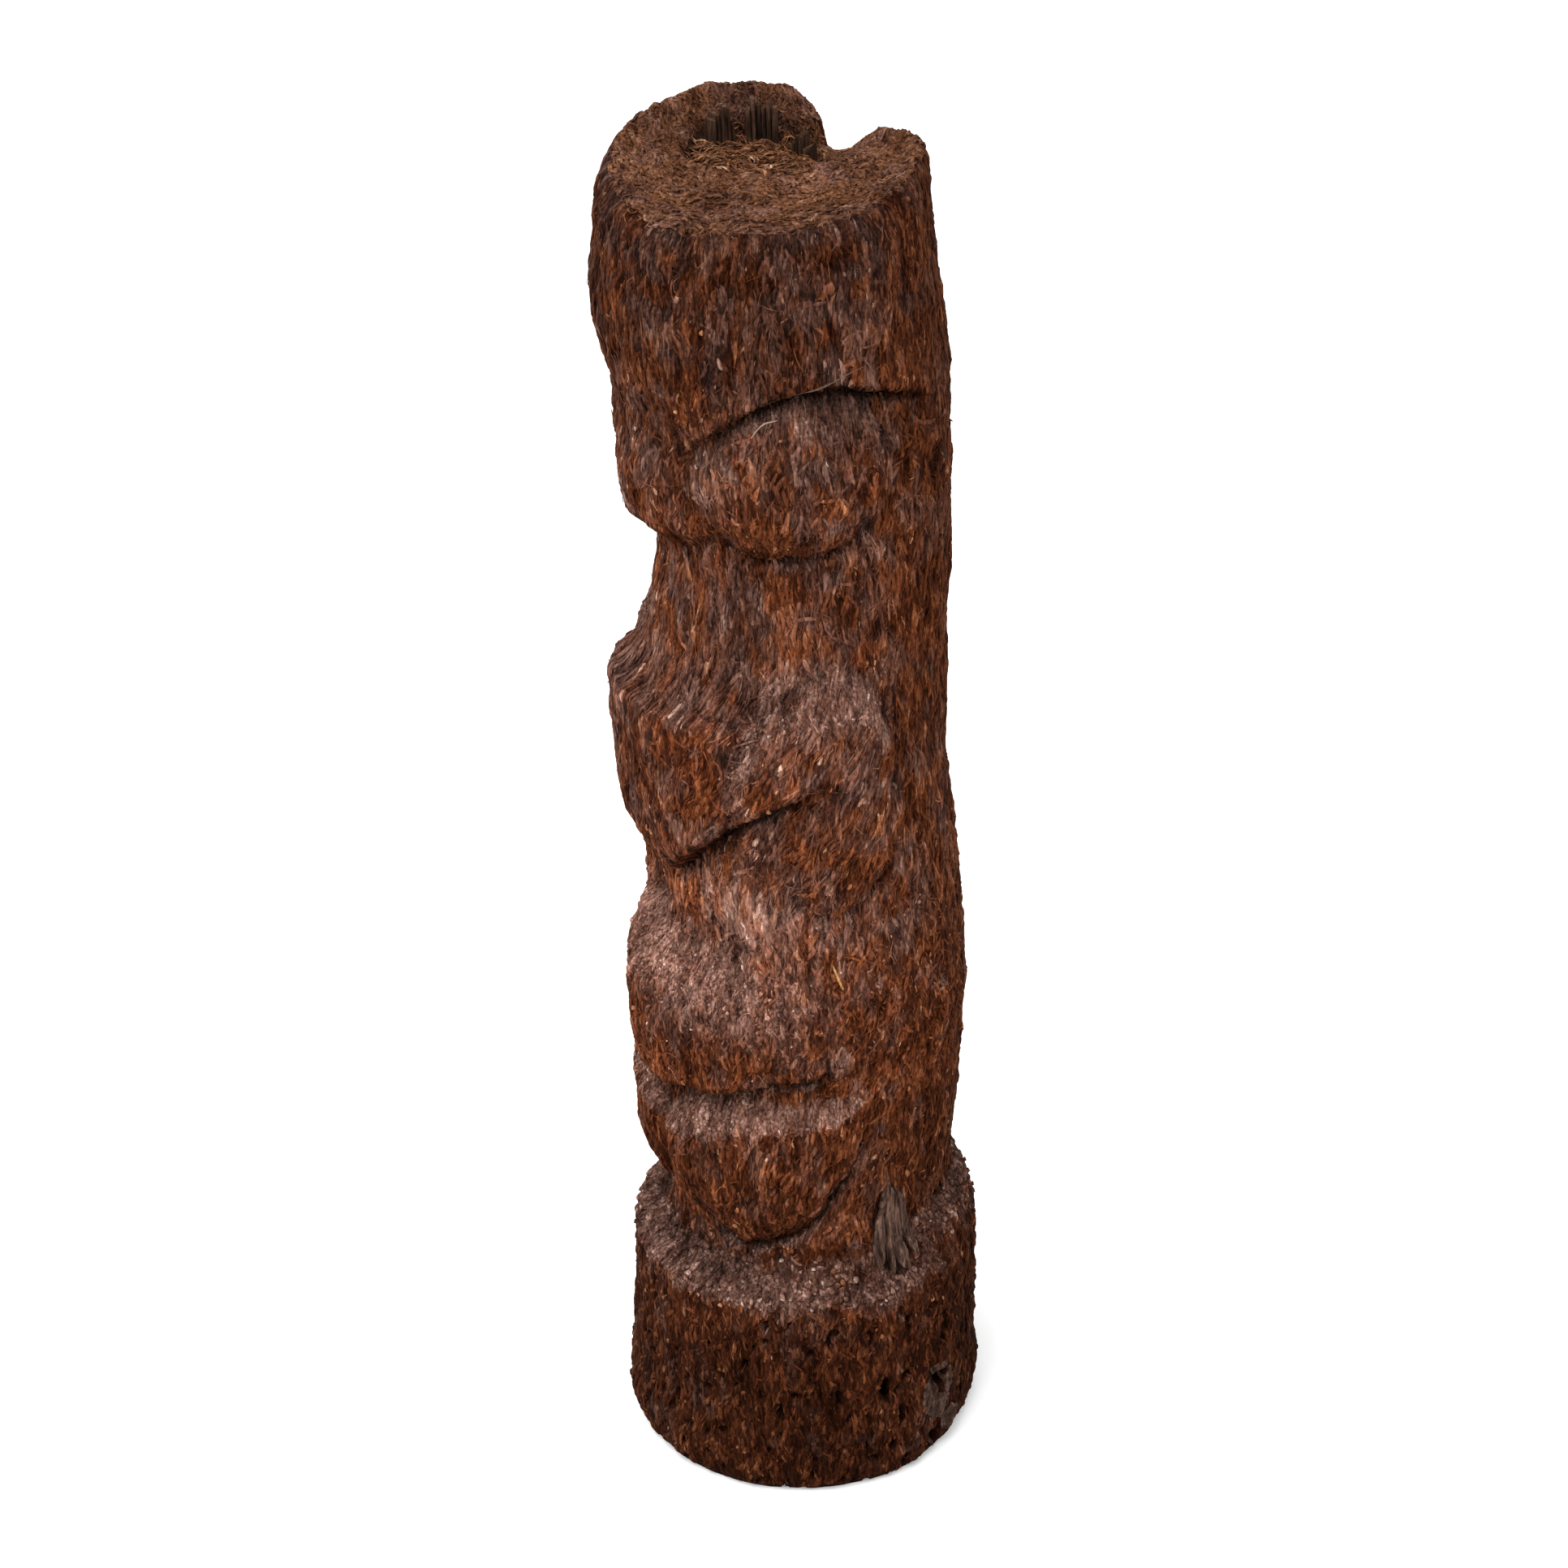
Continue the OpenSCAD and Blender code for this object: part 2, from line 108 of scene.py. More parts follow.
def ease(t):
    c = np.clip(t, 0, 1)
    return c * c * (3 - 2 * c)


def hill(t):
    return np.exp(-t * t)


def smooth_max(a, b, k):
    return np.maximum(a, b) + np.maximum(0, k - np.abs(a - b)) ** 2 / (4 * k)


def blend3(face, side, back, a):
    f, b = 1 - ease((a - 30) / 30), ease((a - 88) / 42)
    return face * f + back * b + side * (1 - f - b)


def cut_under(edge, z, share):
    return UNDERCUT * share * np.maximum(0, edge - z)


def form(a, z, mid_a, mid_z, half_a, up, down, crest, drop, flat):
    v = np.where(z > mid_z, (z - mid_z) / up, (mid_z - z) / down)
    u = (a - mid_a) / half_a
    return crest - drop * (u * u + v * v) ** flat


def ground(a, z):
    g = blend3(lookup(z, "face_ground"), lookup(z, "side_ground"), lookup(z, "back_ground"), a)
    g = g - 5 * hill((a - 53) / 11) * hill((z - 424) / 26)
    return g + 6 * hill((a - 46) / 13) * ease((z - 234) / 28) * ease((340 - z) / 14)


def headdress(a, z):
    h = blend3(lookup(z, "face_head"), lookup(z, "side_head"), lookup(z, "back_ground"), a)
    share = 0.15 + 0.85 * ease((a - 28) / 30)
    nick = 2.5 * hill((a - 72) / 4) * hill((z - 566) / 18)
    return h - cut_under(lookup(a, "brow_edge"), z, share) - nick


def nose(a, z):
    return lookup(z, "nose_crest") - 4.5 * (a / 22) ** 2.4


def eye(a, z):
    return form(a, z, 68, 473, 44, 44, 31, 68, 12, 1.5)


def muzzle(a, z):
    return lookup(z, "muzzle_crest") - 10 * (a / 53) ** 3.6 - cut_under(lookup(a, "arm_edge"), z, 1)


def shoulder(a, z):
    inner = 40 + 0.4 * np.maximum(0, z - 350)
    s = form(a, z, (inner + 106) / 2, 350, (106 - inner) / 2, 40, 62, 71.5, 12, 1.9)
    return s - cut_under(lookup(a, "arm_edge"), z, lookup(a, "arm_share"))


def elbow(a, z):
    return form(a, z, 78, 320, 28, 40, 39, 68.5, 8.5, 1.3)


def belly(a, z):
    b = lookup(z - 12 * ease(a / 70), "belly_crest") - 3.5 * (a / 75) ** 4
    return b - 8 * (np.maximum(0, a - 84) / 16) ** 2 - cut_under(lookup(a, "belly_edge"), z, 1)


def knee(a, z):
    k = 67.8 - 14 * (np.maximum(0, lookup(a, "knee_foot") + 42 - z) / 42) ** 3.0
    k -= 0.8 * np.maximum(0, z - lookup(a, "belly_edge") + 22)
    return k - 9 * (np.maximum(0, a - 38) / 62) ** 3 - 5 * hill(a / 6)


def carved_r(a, z):
    """Radius of the carved surface: part.scad's, but for a few edges that were matched to the photo later."""
    head = headdress(a, z)
    g = smooth_max(ground(a, z), head, 2)
    g = np.where(z > 505, head, g)
    low = smooth_max(smooth_max(smooth_max(g, belly(a, z), 2), knee(a, z), 2),
                     smooth_max(elbow(a, z), muzzle(a, z), 2), 2)
    mid = smooth_max(smooth_max(g, elbow(a, z), 2), smooth_max(shoulder(a, z), muzzle(a, z), 9), 2)
    top = smooth_max(smooth_max(g, nose(a, z), 3), smooth_max(eye(a, z), muzzle(a, z), 2), 2)
    r = np.where(z < 290, low, np.where(z < 402, mid, top))
    r = np.where(z < BASE_H, ground(a, z), r)
    return np.where(z > 530, head, r)


# ---------- noise
def lattice(ix, iy, iz, seed):
    h = (ix * 73856093) ^ (iy * 19349663) ^ (iz * 83492791) ^ (seed * 40503 * 7919)
    h &= 0xFFFFFFFF
    h = ((h ^ (h >> 15)) * 2246822519) & 0xFFFFFFFF
    h = ((h ^ (h >> 13)) * 3266489917) & 0xFFFFFFFF
    return ((h ^ (h >> 16)) & 0xFFFF) / 32767.5 - 1


def noise(x, y, z, seed):
    """Smooth value noise between -1 and 1, with one lattice cell per unit."""
    fx, fy, fz = np.floor(x), np.floor(y), np.floor(z)
    ix, iy, iz = fx.astype(np.int64), fy.astype(np.int64), fz.astype(np.int64)
    ux, uy, uz = ease(x - fx), ease(y - fy), ease(z - fz)
    total = 0.0
    for dx in (0, 1):
        for dy in (0, 1):
            for dz in (0, 1):
                w = (ux if dx else 1 - ux) * (uy if dy else 1 - uy) * (uz if dz else 1 - uz)
                total = total + w * lattice(ix + dx, iy + dy, iz + dz, seed)
    return total


# ---------- the weathered surface
SKIN_INSET = 0.7  # the ground lies this far in, and the roots over it make up the size


def wrap(phi):
    return (phi + 180) % 360 - 180


DRUM_R = 66  # the trunk's mean radius


def on_drum(phi):
    """A point of a drum of the trunk's size, so that noise meets itself all the way round."""
    p = np.radians(phi)
    return DRUM_R * np.sin(p), -DRUM_R * np.cos(p)


def crease(a, z, edge, width):
    """1 in the knife cut just under a carved edge, and nothing away from it."""
    return hill((z - lookup(a, edge) + 2.5) / width)


def furrows(a, z):
    """Depth of the knife cuts under the brow, arm and belly, beside the jaw and below each rounded form."""
    brow = 2.8 * crease(a, z, "brow_edge", 2.6) * ease((a - 38) / 20) * ease((126 - a) / 22)
    arm = 2.2 * crease(a, z, "arm_edge", 2.4) * ease((68 - a) / 12) * (0.3 + 0.7 * ease((a - 26) / 14))
    jaw = 1.1 * hill((a - 51) / 4.5) * ease((z - 366) / 24) * ease((440 - z) / 20)
    waist = 3.3 * crease(a, z, "belly_edge", 2.4) * ease((80 - a) / 12)
    under_eye = hill((eye(a, z) - ground(a, z) + 0.6) / 1.8) * ease((470 - z) / 20) * (z > 425)
    under_eye *= ease((a - 38) / 12) * (1 - 0.7 * ease((a - 78) / 16))
    others = np.maximum(np.maximum(ground(a, z), shoulder(a, z)), muzzle(a, z))
    under_elbow = hill((elbow(a, z) - others + 0.4) / 1.8) * (z > 262) * ease((325 - z) / 30)
    under_elbow *= ease((a - 62) / 10)
    under_foot = hill((knee(a, z) - ground(a, z) + 0.6) / 1.8) * (z < 170) * (z > 104) * ease((96 - a) / 16)
    return brow + arm + jaw + waist + 2.2 * under_eye + 1.3 * under_elbow + 2.2 * under_foot


# Rotted holes: angle, height, half width in degrees, half height, depth.
PITS = [(89, 47, 1.7, 4.4, 8), (112.5, 38.5, 2.6, 3.2, 8), (94.3, 31.5, 1.3, 3.8, 5), (21, 193, 2.6, 2.4, 5),
        (108, 9, 2.2, 3.2, 6)]


def pits(phi, z):
    """How deep inside a rotted hole a point is, in millimetres; the base block is pitted all over."""
    x, y = on_drum(phi)
    small = 2.4 * ease((noise(x / 3.3, y / 3.3, z / 4.6, 51) - 0.52) / 0.25)
    depth = small * (0.35 + 0.65 * ease((96 - z) / 10))
    for pit_phi, pit_z, half_a, half_z, deep in PITS:
        depth = depth + deep * hill((wrap(phi - pit_phi) / half_a) ** 2 + ((z - pit_z) / half_z) ** 2)
    return depth


# Where flat pieces of other wood lie on the surface: angle, height, half width in degrees, half height.
BARE = [(98.8, 120, 8.6, 21), (112, 32, 8.5, 14), (117.5, 12.5, 6, 6)]


def is_bare(phi, z):
    covered = np.zeros(np.shape(z), bool)
    for mid_phi, mid_z, half_a, half_z in BARE:
        covered |= (wrap(phi - mid_phi) / half_a) ** 2 + ((z - mid_z) / half_z) ** 2 < 1
    return covered


def strands(phi, z):
    """The matted roots as relief, about -1 to 1: bundles that wander up the trunk."""
    x, y = on_drum(phi)
    sway = 1.6 * noise(x / 15, y / 15, z / 15, 21)
    return (0.5 * noise((x + sway) / 4.4, (y + sway) / 4.4, z / 10, 5)
            + 0.5 * noise((x - sway) / 2.5, (y - sway) / 2.5, z / 5.5, 6))


def skin_r(phi, z):
    """Radius of the carved surface with its edges worn uneven and its roots bundled."""
    x, y = on_drum(phi)
    fade = ease(z / 14) * ease((NOMINAL_H + 8 - z) / 24)
    ragged = 1 + 1.2 * hill((z - 98) / 9)
    dz = 1.6 * noise(x / 13, y / 13, z / 13, 1) + 0.9 * ragged * noise(x / 5, y / 5, z / 5, 2)
    da = 1.5 * noise(x / 13, y / 13, z / 13, 3) + 0.8 * noise(x / 5, y / 5, z / 5, 4)
    a, z_worn = np.abs(wrap(phi + da * fade)), z + dz * fade
    r = carved_r(a, z_worn) - furrows(a, z_worn)
    lump = 0.7 * noise(x / 17, y / 17, z / 22, 7)
    worn = np.clip((z - (NOMINAL_H - 18)) / 18, 0, 1)
    rounding = (6.5 - 4.5 * hill((wrap(phi) - 158) / 26)) * (1 - np.sqrt(1 - 0.97 * worn * worn))
    return r - SKIN_INSET + (1.5 * strands(phi, z) + lump) * ease(z / 5 + 0.3) - rounding - pits(phi, z)


def rim_z(phi):
    x, y = on_drum(phi)
    coarse = 0.9 * noise(x / 7, y / 7, 0 * x, 8)
    return lookup(phi % 360, "rim") + coarse + 0.5 * noise(x / 3, y / 3, 0 * x, 9)


def real_z(z, phi):
    crown = CROWN_Z + (z - CROWN_Z) * (rim_z(phi) - CROWN_Z) / (NOMINAL_H - CROWN_Z)
    return SCALE_Z * np.where(z <= CROWN_Z, z, crown)


def place(phi, r, z):
    """Points in real millimetres from an angle, a nominal radius and a nominal height."""
    p = np.radians(phi)
    lean = -2.5 * ease((z - 380) / (NOMINAL_H - 380))
    return np.stack([SCALE_R * r * np.sin(p) + lean, -SCALE_R * r * np.cos(p), real_z(z, phi)], -1)


CORE_DRIFT = 22.0
CORE_ANGLE = math.radians(-107)
BORE_R = 25.3
CRATER_R = 31.5
CRATER_FRONT = 60.0  # the side where the lip comes nearest to the bore
NOTCH_ANGLE = 210.0  # where the rim is broken away
HEIGHT = SCALE_Z * NOMINAL_H


def core_point(phi, r, z):
    """Points round the slanted line that the woody core follows, in real millimetres."""
    p = np.radians(phi)
    reach = CORE_DRIFT * z / HEIGHT
    x = reach * math.sin(CORE_ANGLE) + r * np.sin(p)
    y = -reach * math.cos(CORE_ANGLE) - r * np.cos(p)
    return np.stack(np.broadcast_arrays(x, y, z), -1)


CRATER_CENTRE = core_point(0.0, 0.0, 574.0 * SCALE_Z)


def lip_z(phi):
    return lookup(phi % 360, "lip") * SCALE_Z


def mouth_z(phi):
    near = (1 - np.cos(np.radians(phi) - CORE_ANGLE)) / 2
    return lip_z(phi) - SCALE_Z * (7 + 6 * near)


def top_point(phi, t):
    """A point of the worn top: t is 0 at the rim, 0.8 at the crater's lip and 1 at the bore."""
    rim = place(phi, skin_r(phi, np.full_like(phi, NOMINAL_H)), np.full_like(phi, NOMINAL_H))
    wobble = 2.2 * noise(rim[..., 0] / 9, rim[..., 1] / 9, rim[..., 2] / 9, 11)
    nearer = 7.5 * ease(np.cos(np.radians(phi - CRATER_FRONT)))
    lip = core_point(phi, CRATER_R - nearer + wobble, lip_z(phi))
    mouth = core_point(phi, BORE_R, mouth_z(phi))
    u = np.clip(t / 0.8, 0, 1)[..., None]
    v = np.clip((t - 0.8) / 0.2, 0, 1)[..., None]
    p = rim * (1 - u) + lip * u
    p = p * (1 - v) + mouth * v
    edge = np.sin(np.pi * np.clip(u[..., 0], 0, 1))
    swell = 1.6 * noise(p[..., 0] / 12, p[..., 1] / 12, p[..., 2] / 12, 12) * edge
    rough = 0.9 * noise(p[..., 0] / 4, p[..., 1] / 4, p[..., 2] / 4, 13) * np.clip(4 * u[..., 0], 0, 1)
    dish = 2.2 * edge
    p[..., 2] += swell + rough * (1 - v[..., 0]) - dish
    return p


# ---------- meshes from arrays
def add_mesh(name, verts_mm, quads, uvs, attributes, material, smooth=True):
    """A piece on the one body, with a float attribute per vertex for each entry of attributes."""
    mesh = bpy.data.meshes.new(name)
    verts = np.asarray(verts_mm, np.float32).reshape(-1, 3) * MM
    quads = np.asarray(quads, np.int32)
    mesh.vertices.add(len(verts))
    mesh.vertices.foreach_set("co", verts.ravel())
    mesh.loops.add(quads.size)
    mesh.loops.foreach_set("vertex_index", quads.ravel())
    mesh.polygons.add(len(quads))
    mesh.polygons.foreach_set("loop_start", np.arange(0, quads.size, quads.shape[1], dtype=np.int32))
    mesh.update(calc_edges=True)
    mesh.polygons.foreach_set("use_smooth", np.full(len(quads), smooth))
    for key, values in attributes.items():
        layer = mesh.attributes.new(key, "FLOAT", "POINT")
        layer.data.foreach_set("value", np.asarray(values, np.float32).ravel())
    layer = mesh.uv_layers.new(name=BAKE_UV)
    layer.data.foreach_set("uv", np.asarray(uvs, np.float32).ravel())
    mesh.materials.append(material)
    piece = bpy.data.objects.new(name, mesh)
    bpy.context.scene.collection.objects.link(piece)
    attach(piece, "root")
    return piece


def unit(v):
    return v / np.maximum(np.linalg.norm(v, axis=-1, keepdims=True), 1e-9)


def corners(u, v):
    """UVs of four-cornered faces, from the u and the v of each of the four corners."""
    return np.stack([np.stack([corner_u, corner_v], -1) for corner_u, corner_v in zip(u, v)], -2)


def lofts(rings):
    """Vertices, quads and bake UVs of closed solids through rings (n, k, sides, 3); sides is even."""
    n, k, sides, _ = rings.shape
    j, i = np.meshgrid(np.arange(k - 1), np.arange(sides), indexing="ij")
    j, i = j.ravel(), i.ravel()
    n_i = (i + 1) % sides
    wall = np.stack([j * sides + i, (j + 1) * sides + i, (j + 1) * sides + n_i, j * sides + n_i], -1)
    c = np.arange(sides // 2 - 1)
    foot = np.stack([c, c + 1, sides - 2 - c, sides - 1 - c], -1)
    one = np.concatenate([wall, foot, foot[:, ::-1] + (k - 1) * sides])
    quads = (one[None] + (np.arange(n) * k * sides)[:, None, None]).reshape(-1, 4)
    u0, u1, v0, v1 = i / sides, (i + 1) / sides, j / (k - 1), (j + 1) / (k - 1)
    wall_uv = corners((u0, u0, u1, u1), (v0, v1, v1, v0))
    low_uv = np.tile([[0, 0], [0.1, 0], [0.1, 0.05], [0, 0.05]], (len(foot), 1, 1))
    high_uv = np.tile([[0, 1], [0.1, 1], [0.1, 0.95], [0, 0.95]], (len(foot), 1, 1))
    one_uv = np.concatenate([wall_uv, low_uv, high_uv])
    columns = int(math.ceil(math.sqrt(n * 2.2))) if n > 1 else 1
    rows = int(math.ceil(n / columns))
    cell = np.stack([np.arange(n) % columns, np.arange(n) // columns], -1)
    uv = (cell[:, None, None, :] + 0.05 + 0.9 * one_uv[None]) / np.array([columns, rows])
    return rings.reshape(-1, 3), quads, uv.reshape(-1, 2)


def tubes(paths, radii, up, sides=4, flat=0.8):
    """Closed tubes along paths (n, k, 3). up is each tube's outward normal."""
    along = unit(np.gradient(paths, axis=1))
    side = unit(np.cross(along, up[:, None, :]))
    top = np.cross(side, along)
    angle = (np.arange(sides) + 0.5) * 2 * np.pi / sides
    return lofts(paths[:, :, None, :] + radii[:, :, None, None] * (
        np.cos(angle)[None, None, :, None] * side[:, :, None, :]
        + flat * np.sin(angle)[None, None, :, None] * top[:, :, None, :]))


def per_ring(values, sides=4):
    """Spreads (n, k) values over the vertices of tubes made by tubes()."""
    return np.repeat(values.reshape(-1), sides)


# ---------- materials
class Nodes:
    """A short way to build one material's nodes."""

    def __init__(self, name):
        self.material = bpy.data.materials.new(name)
        self.material.use_nodes = True
        self.tree = self.material.node_tree
        self.tree.nodes.clear()
        self.output = self.tree.nodes.new("ShaderNodeOutputMaterial")
        self.shader = self.tree.nodes.new("ShaderNodeBsdfPrincipled")
        self.tree.links.new(self.shader.outputs[0], self.output.inputs["Surface"])
        self.coords = self.tree.nodes.new("ShaderNodeTexCoord").outputs["Object"]

    def link(self, value, socket):
        if isinstance(value, bpy.types.NodeSocket):
            self.tree.links.new(value, socket)
        else:
            socket.default_value = value

    def add(self, kind, inputs=(), **settings):
        """A new node with its settings made and its inputs, in order or by name, set or linked."""
        node = self.tree.nodes.new("ShaderNode" + kind)
        for setting, value in settings.items():
            setattr(node, setting, value)
        for key, value in inputs.items() if isinstance(inputs, dict) else enumerate(inputs):
            self.link(value, node.inputs[key])
        return node

    def noise(self, scale, detail=3.0, roughness=0.6, distortion=0.0):
        stretched = self.add("Mapping", {"Vector": self.coords, "Scale": scale}).outputs[0]
        inputs = {"Vector": stretched, "Scale": 1.0, "Detail": detail, "Roughness": roughness,
                  "Distortion": distortion}
        return self.add("TexNoise", inputs).outputs["Fac"]

    def attribute(self, name):
        return self.add("Attribute", attribute_name=name).outputs["Fac"]

    def math(self, operation, a, b, clamp=False):
        return self.add("Math", (a, b), operation=operation, use_clamp=clamp).outputs[0]

    def span(self, value, low, high, to_low=0.0, to_high=1.0):
        return self.add("MapRange", (value, low, high, to_low, to_high)).outputs[0]

    def ramp(self, value, stops):
        node = self.add("ValToRGB", (value,))
        elements = node.color_ramp.elements
        while len(elements) < len(stops):
            elements.new(0.5)
        for element, (position, colour) in zip(elements, stops):
            element.position = position
            element.color = (*colour, 1)
        return node.outputs[0]

    def mix(self, share, a, b):
        """Mixes two colours; a colour mix has them on inputs 6 and 7 and its result on output 2."""
        return self.add("Mix", {0: share, 6: a, 7: b}, data_type="RGBA").outputs[2]

    def scaled(self, colour, factor):
        return self.add("VectorMath", {0: colour, "Scale": factor}, operation="SCALE").outputs[0]

    def bump(self, height, strength, distance):
        inputs = {"Height": height, "Strength": strength, "Distance": distance}
        return self.add("Bump", inputs).outputs[0]

    def finish(self, colour, roughness, specular, normal=None):
        self.link(colour, self.shader.inputs["Base Color"])
        self.link(roughness, self.shader.inputs["Roughness"])
        self.shader.inputs["Specular IOR Level"].default_value = specular
        if normal is not None:
            self.link(normal, self.shader.inputs["Normal"])
        return self.material


RUST_STOPS = [
    (0.0, (0.006, 0.0015, 0.0006)), (0.28, (0.0335, 0.008, 0.0027)), (0.5, (0.093, 0.0248, 0.0088)),
    (0.72, (0.195, 0.059, 0.022)), (0.9, (0.33, 0.135, 0.057)), (1.0, (0.52, 0.295, 0.17))]
MAUVE_STOPS = [
    (0.0, (0.007, 0.003, 0.0022)), (0.28, (0.036, 0.0165, 0.012)), (0.5, (0.095, 0.044, 0.032)),
    (0.72, (0.185, 0.096, 0.072)), (0.9, (0.31, 0.185, 0.145)), (1.0, (0.52, 0.38, 0.32))]
OCHRE_STOPS = [
    (0.0, (0.0065, 0.0021, 0.0009)), (0.28, (0.032, 0.0112, 0.0046)), (0.5, (0.095, 0.0355, 0.015)),
    (0.72, (0.195, 0.085, 0.039)), (0.9, (0.33, 0.18, 0.095)), (1.0, (0.52, 0.35, 0.23))]


def root_material(name, skin, warm=RUST_STOPS):
    """Matted roots. skin is True for the ground between the modelled roots."""
    n = Nodes(name)
    streaks = n.noise((820, 820, 170), 3, 0.6, 0.5)
    grains = n.noise((900, 900, 520), 3, 0.65)
    clumps = n.noise((230, 230, 95), 3, 0.6, 0.3)
    patch = n.noise((150, 150, 90), 3, 0.6)
    tone = n.math("ADD", n.span(streaks, 0.28, 0.72, -0.20, 0.20), n.span(clumps, 0.3, 0.7, -0.12, 0.12))
    tone = n.math("ADD", tone, n.span(grains, 0.3, 0.7, -0.12, 0.12))
    tone = n.math("ADD", tone, n.attribute("tone"))
    cool = n.math("ADD", n.attribute("hue"), n.span(patch, 0.35, 0.65, -0.25, 0.25), clamp=True)
    wood = n.mix(cool, n.ramp(tone, warm), n.ramp(tone, MAUVE_STOPS))
    dusty = n.math("ADD", n.math("MULTIPLY", tone, 0.7), n.span(grains, 0.3, 0.7, 0.12, 0.44))
    share = n.math("MULTIPLY", n.attribute("dust"), n.span(clumps, 0.32, 0.58, 0.5, 1.15), clamp=True)
    colour = n.scaled(n.mix(share, wood, n.ramp(dusty, MAUVE_STOPS)), n.attribute("shade"))
    height = n.math("ADD", streaks, n.math("MULTIPLY", grains, 0.6))
    normal = n.bump(height, 0.9 if skin else 0.6, 0.0014 if skin else 0.0010)
    return n.finish(colour, n.span(grains, 0.3, 0.7, 0.7, 0.95), 0.015, normal)


def wood_material(name, stops, grain, bump=0.9):
    """Split woody tissue with its grain along Z."""
    n = Nodes(name)
    lines = n.noise(grain, 4, 0.7, 0.4)
    patches = n.noise((110, 110, 60), 3, 0.6)
    tone = n.math("ADD", n.span(lines, 0.3, 0.72, 0.0, 0.8), n.span(patches, 0.3, 0.7, -0.15, 0.2))
    colour = n.scaled(n.ramp(tone, stops), n.attribute("shade"))
    return n.finish(colour, n.span(lines, 0.2, 0.8, 0.6, 0.9), 0.04, n.bump(lines, bump, 0.0012))


skin_mat = root_material("root_skin", True)
fibre_mat = root_material("root_fibres", False)
litter_mat = root_material("crater_litter", False, OCHRE_STOPS)
plate_mat = wood_material("stele_wood", [
    (0.0, (0.008, 0.004, 0.0025)), (0.45, (0.036, 0.018, 0.011)),
    (0.8, (0.098, 0.052, 0.033)), (1.0, (0.20, 0.12, 0.082))], (500, 500, 45))
pith_mat = wood_material("rotted_pith", [
    (0.0, (0.010, 0.005, 0.002)), (0.4, (0.075, 0.034, 0.014)),
    (0.75, (0.20, 0.105, 0.045)), (1.0, (0.38, 0.24, 0.12))], (300, 300, 200))
trace_mat = wood_material("leaf_trace_wood", [
    (0.0, (0.007, 0.004, 0.003)), (0.4, (0.052, 0.028, 0.020)),
    (0.75, (0.16, 0.088, 0.064)), (1.0, (0.34, 0.23, 0.175))], (900, 900, 60))
patch_mat = wood_material("worn_wood", [
    (0.0, (0.008, 0.004, 0.0025)), (0.4, (0.036, 0.018, 0.012)),
    (0.75, (0.092, 0.049, 0.034)), (1.0, (0.19, 0.12, 0.085))], (420, 420, 420))
pale_mat = wood_material("pale_root", [
    (0.0, (0.16, 0.09, 0.06)), (0.5, (0.38, 0.26, 0.19)), (1.0, (0.62, 0.49, 0.40))], (700, 700, 700), 0.4)
straw_mat = wood_material("straw_root", [
    (0.0, (0.16, 0.07, 0.02)), (0.5, (0.42, 0.21, 0.07)), (1.0, (0.66, 0.42, 0.20))], (700, 700, 700), 0.4)


# ---------- where the surface is bright, dusty or dark
def slope_up(phi, z, step=2.2):
    """How far the surface faces up, from -1 (down) to 1 (up)."""
    dr = (skin_r(phi, z - step) - skin_r(phi, z + step)) / (2 * step)
    return dr / np.sqrt(1 + dr * dr)


# Overall lightness by height, and that of the dusty places alone.
LIGHTNESS = np.array([
    [0, 0.46], [60, 0.50], [92, 0.66], [104, 0.86], [130, 0.84], [165, 0.88], [205, 1.02], [250, 1.12],
    [290, 1.08], [320, 1.02], [350, 0.99], [400, 0.98], [440, 0.97], [475, 0.91], [500, 0.77], [520, 0.67],
    [545, 0.60], [568, 0.54], [588, 0.50]])
DUST_LIGHT = np.array([
    [0, 0.8], [120, 1.0], [170, 1.05], [180, 1.25], [190, 1.2], [202, 0.9], [215, 0.85], [240, 1.35],
    [285, 1.25], [310, 1.1], [360, 0.92], [400, 0.88], [588, 0.85]])
# Places of another colour: angle, height, half width in degrees, half height, how much lighter and cooler.
STAINS = [
    (91, 534, 8, 17, 0.10, 0.35), (84, 560, 6, 12, -0.08, 0.2), (62, 548, 5, 16, -0.10, 0.5),
    (96, 395, 9, 26, -0.06, -0.2), (60, 452, 14, 9, 0.05, -0.5), (40, 128, 24, 10, 0.02, -0.6),
    (114, 30, 11, 14, 0.10, 0.3), (70, 40, 9, 30, -0.06, -0.2), (44, 312, 12, 14, 0.02, -0.3),
    (86, 300, 10, 10, -0.03, -0.4), (104, 170, 12, 26, 0.05, 0.25), (34, 283, 24, 12, 0.13, 0.45),
    (36, 480, 15, 16, 0.10, 0.55), (78, 505, 12, 12, -0.10, 0.1), (70, 280, 14, 16, 0.04, 0.45),
    (24, 445, 14, 12, 0.0, 0.3), (41, 412, 9, 34, -0.07, 0.25), (64, 410, 8, 22, 0.09, -0.55),
    (34, 350, 16, 26, -0.02, -0.25)]
LOOK_SEED = 20


def stain(phi, z, column):
    """Sum of the stains' lightness (column 4) or coolness (column 5) at a point."""
    total = 0.0
    for spot in STAINS:
        total = total + spot[column] * hill(wrap(phi - spot[0]) / spot[2]) * hill((z - spot[1]) / spot[3])
    return total


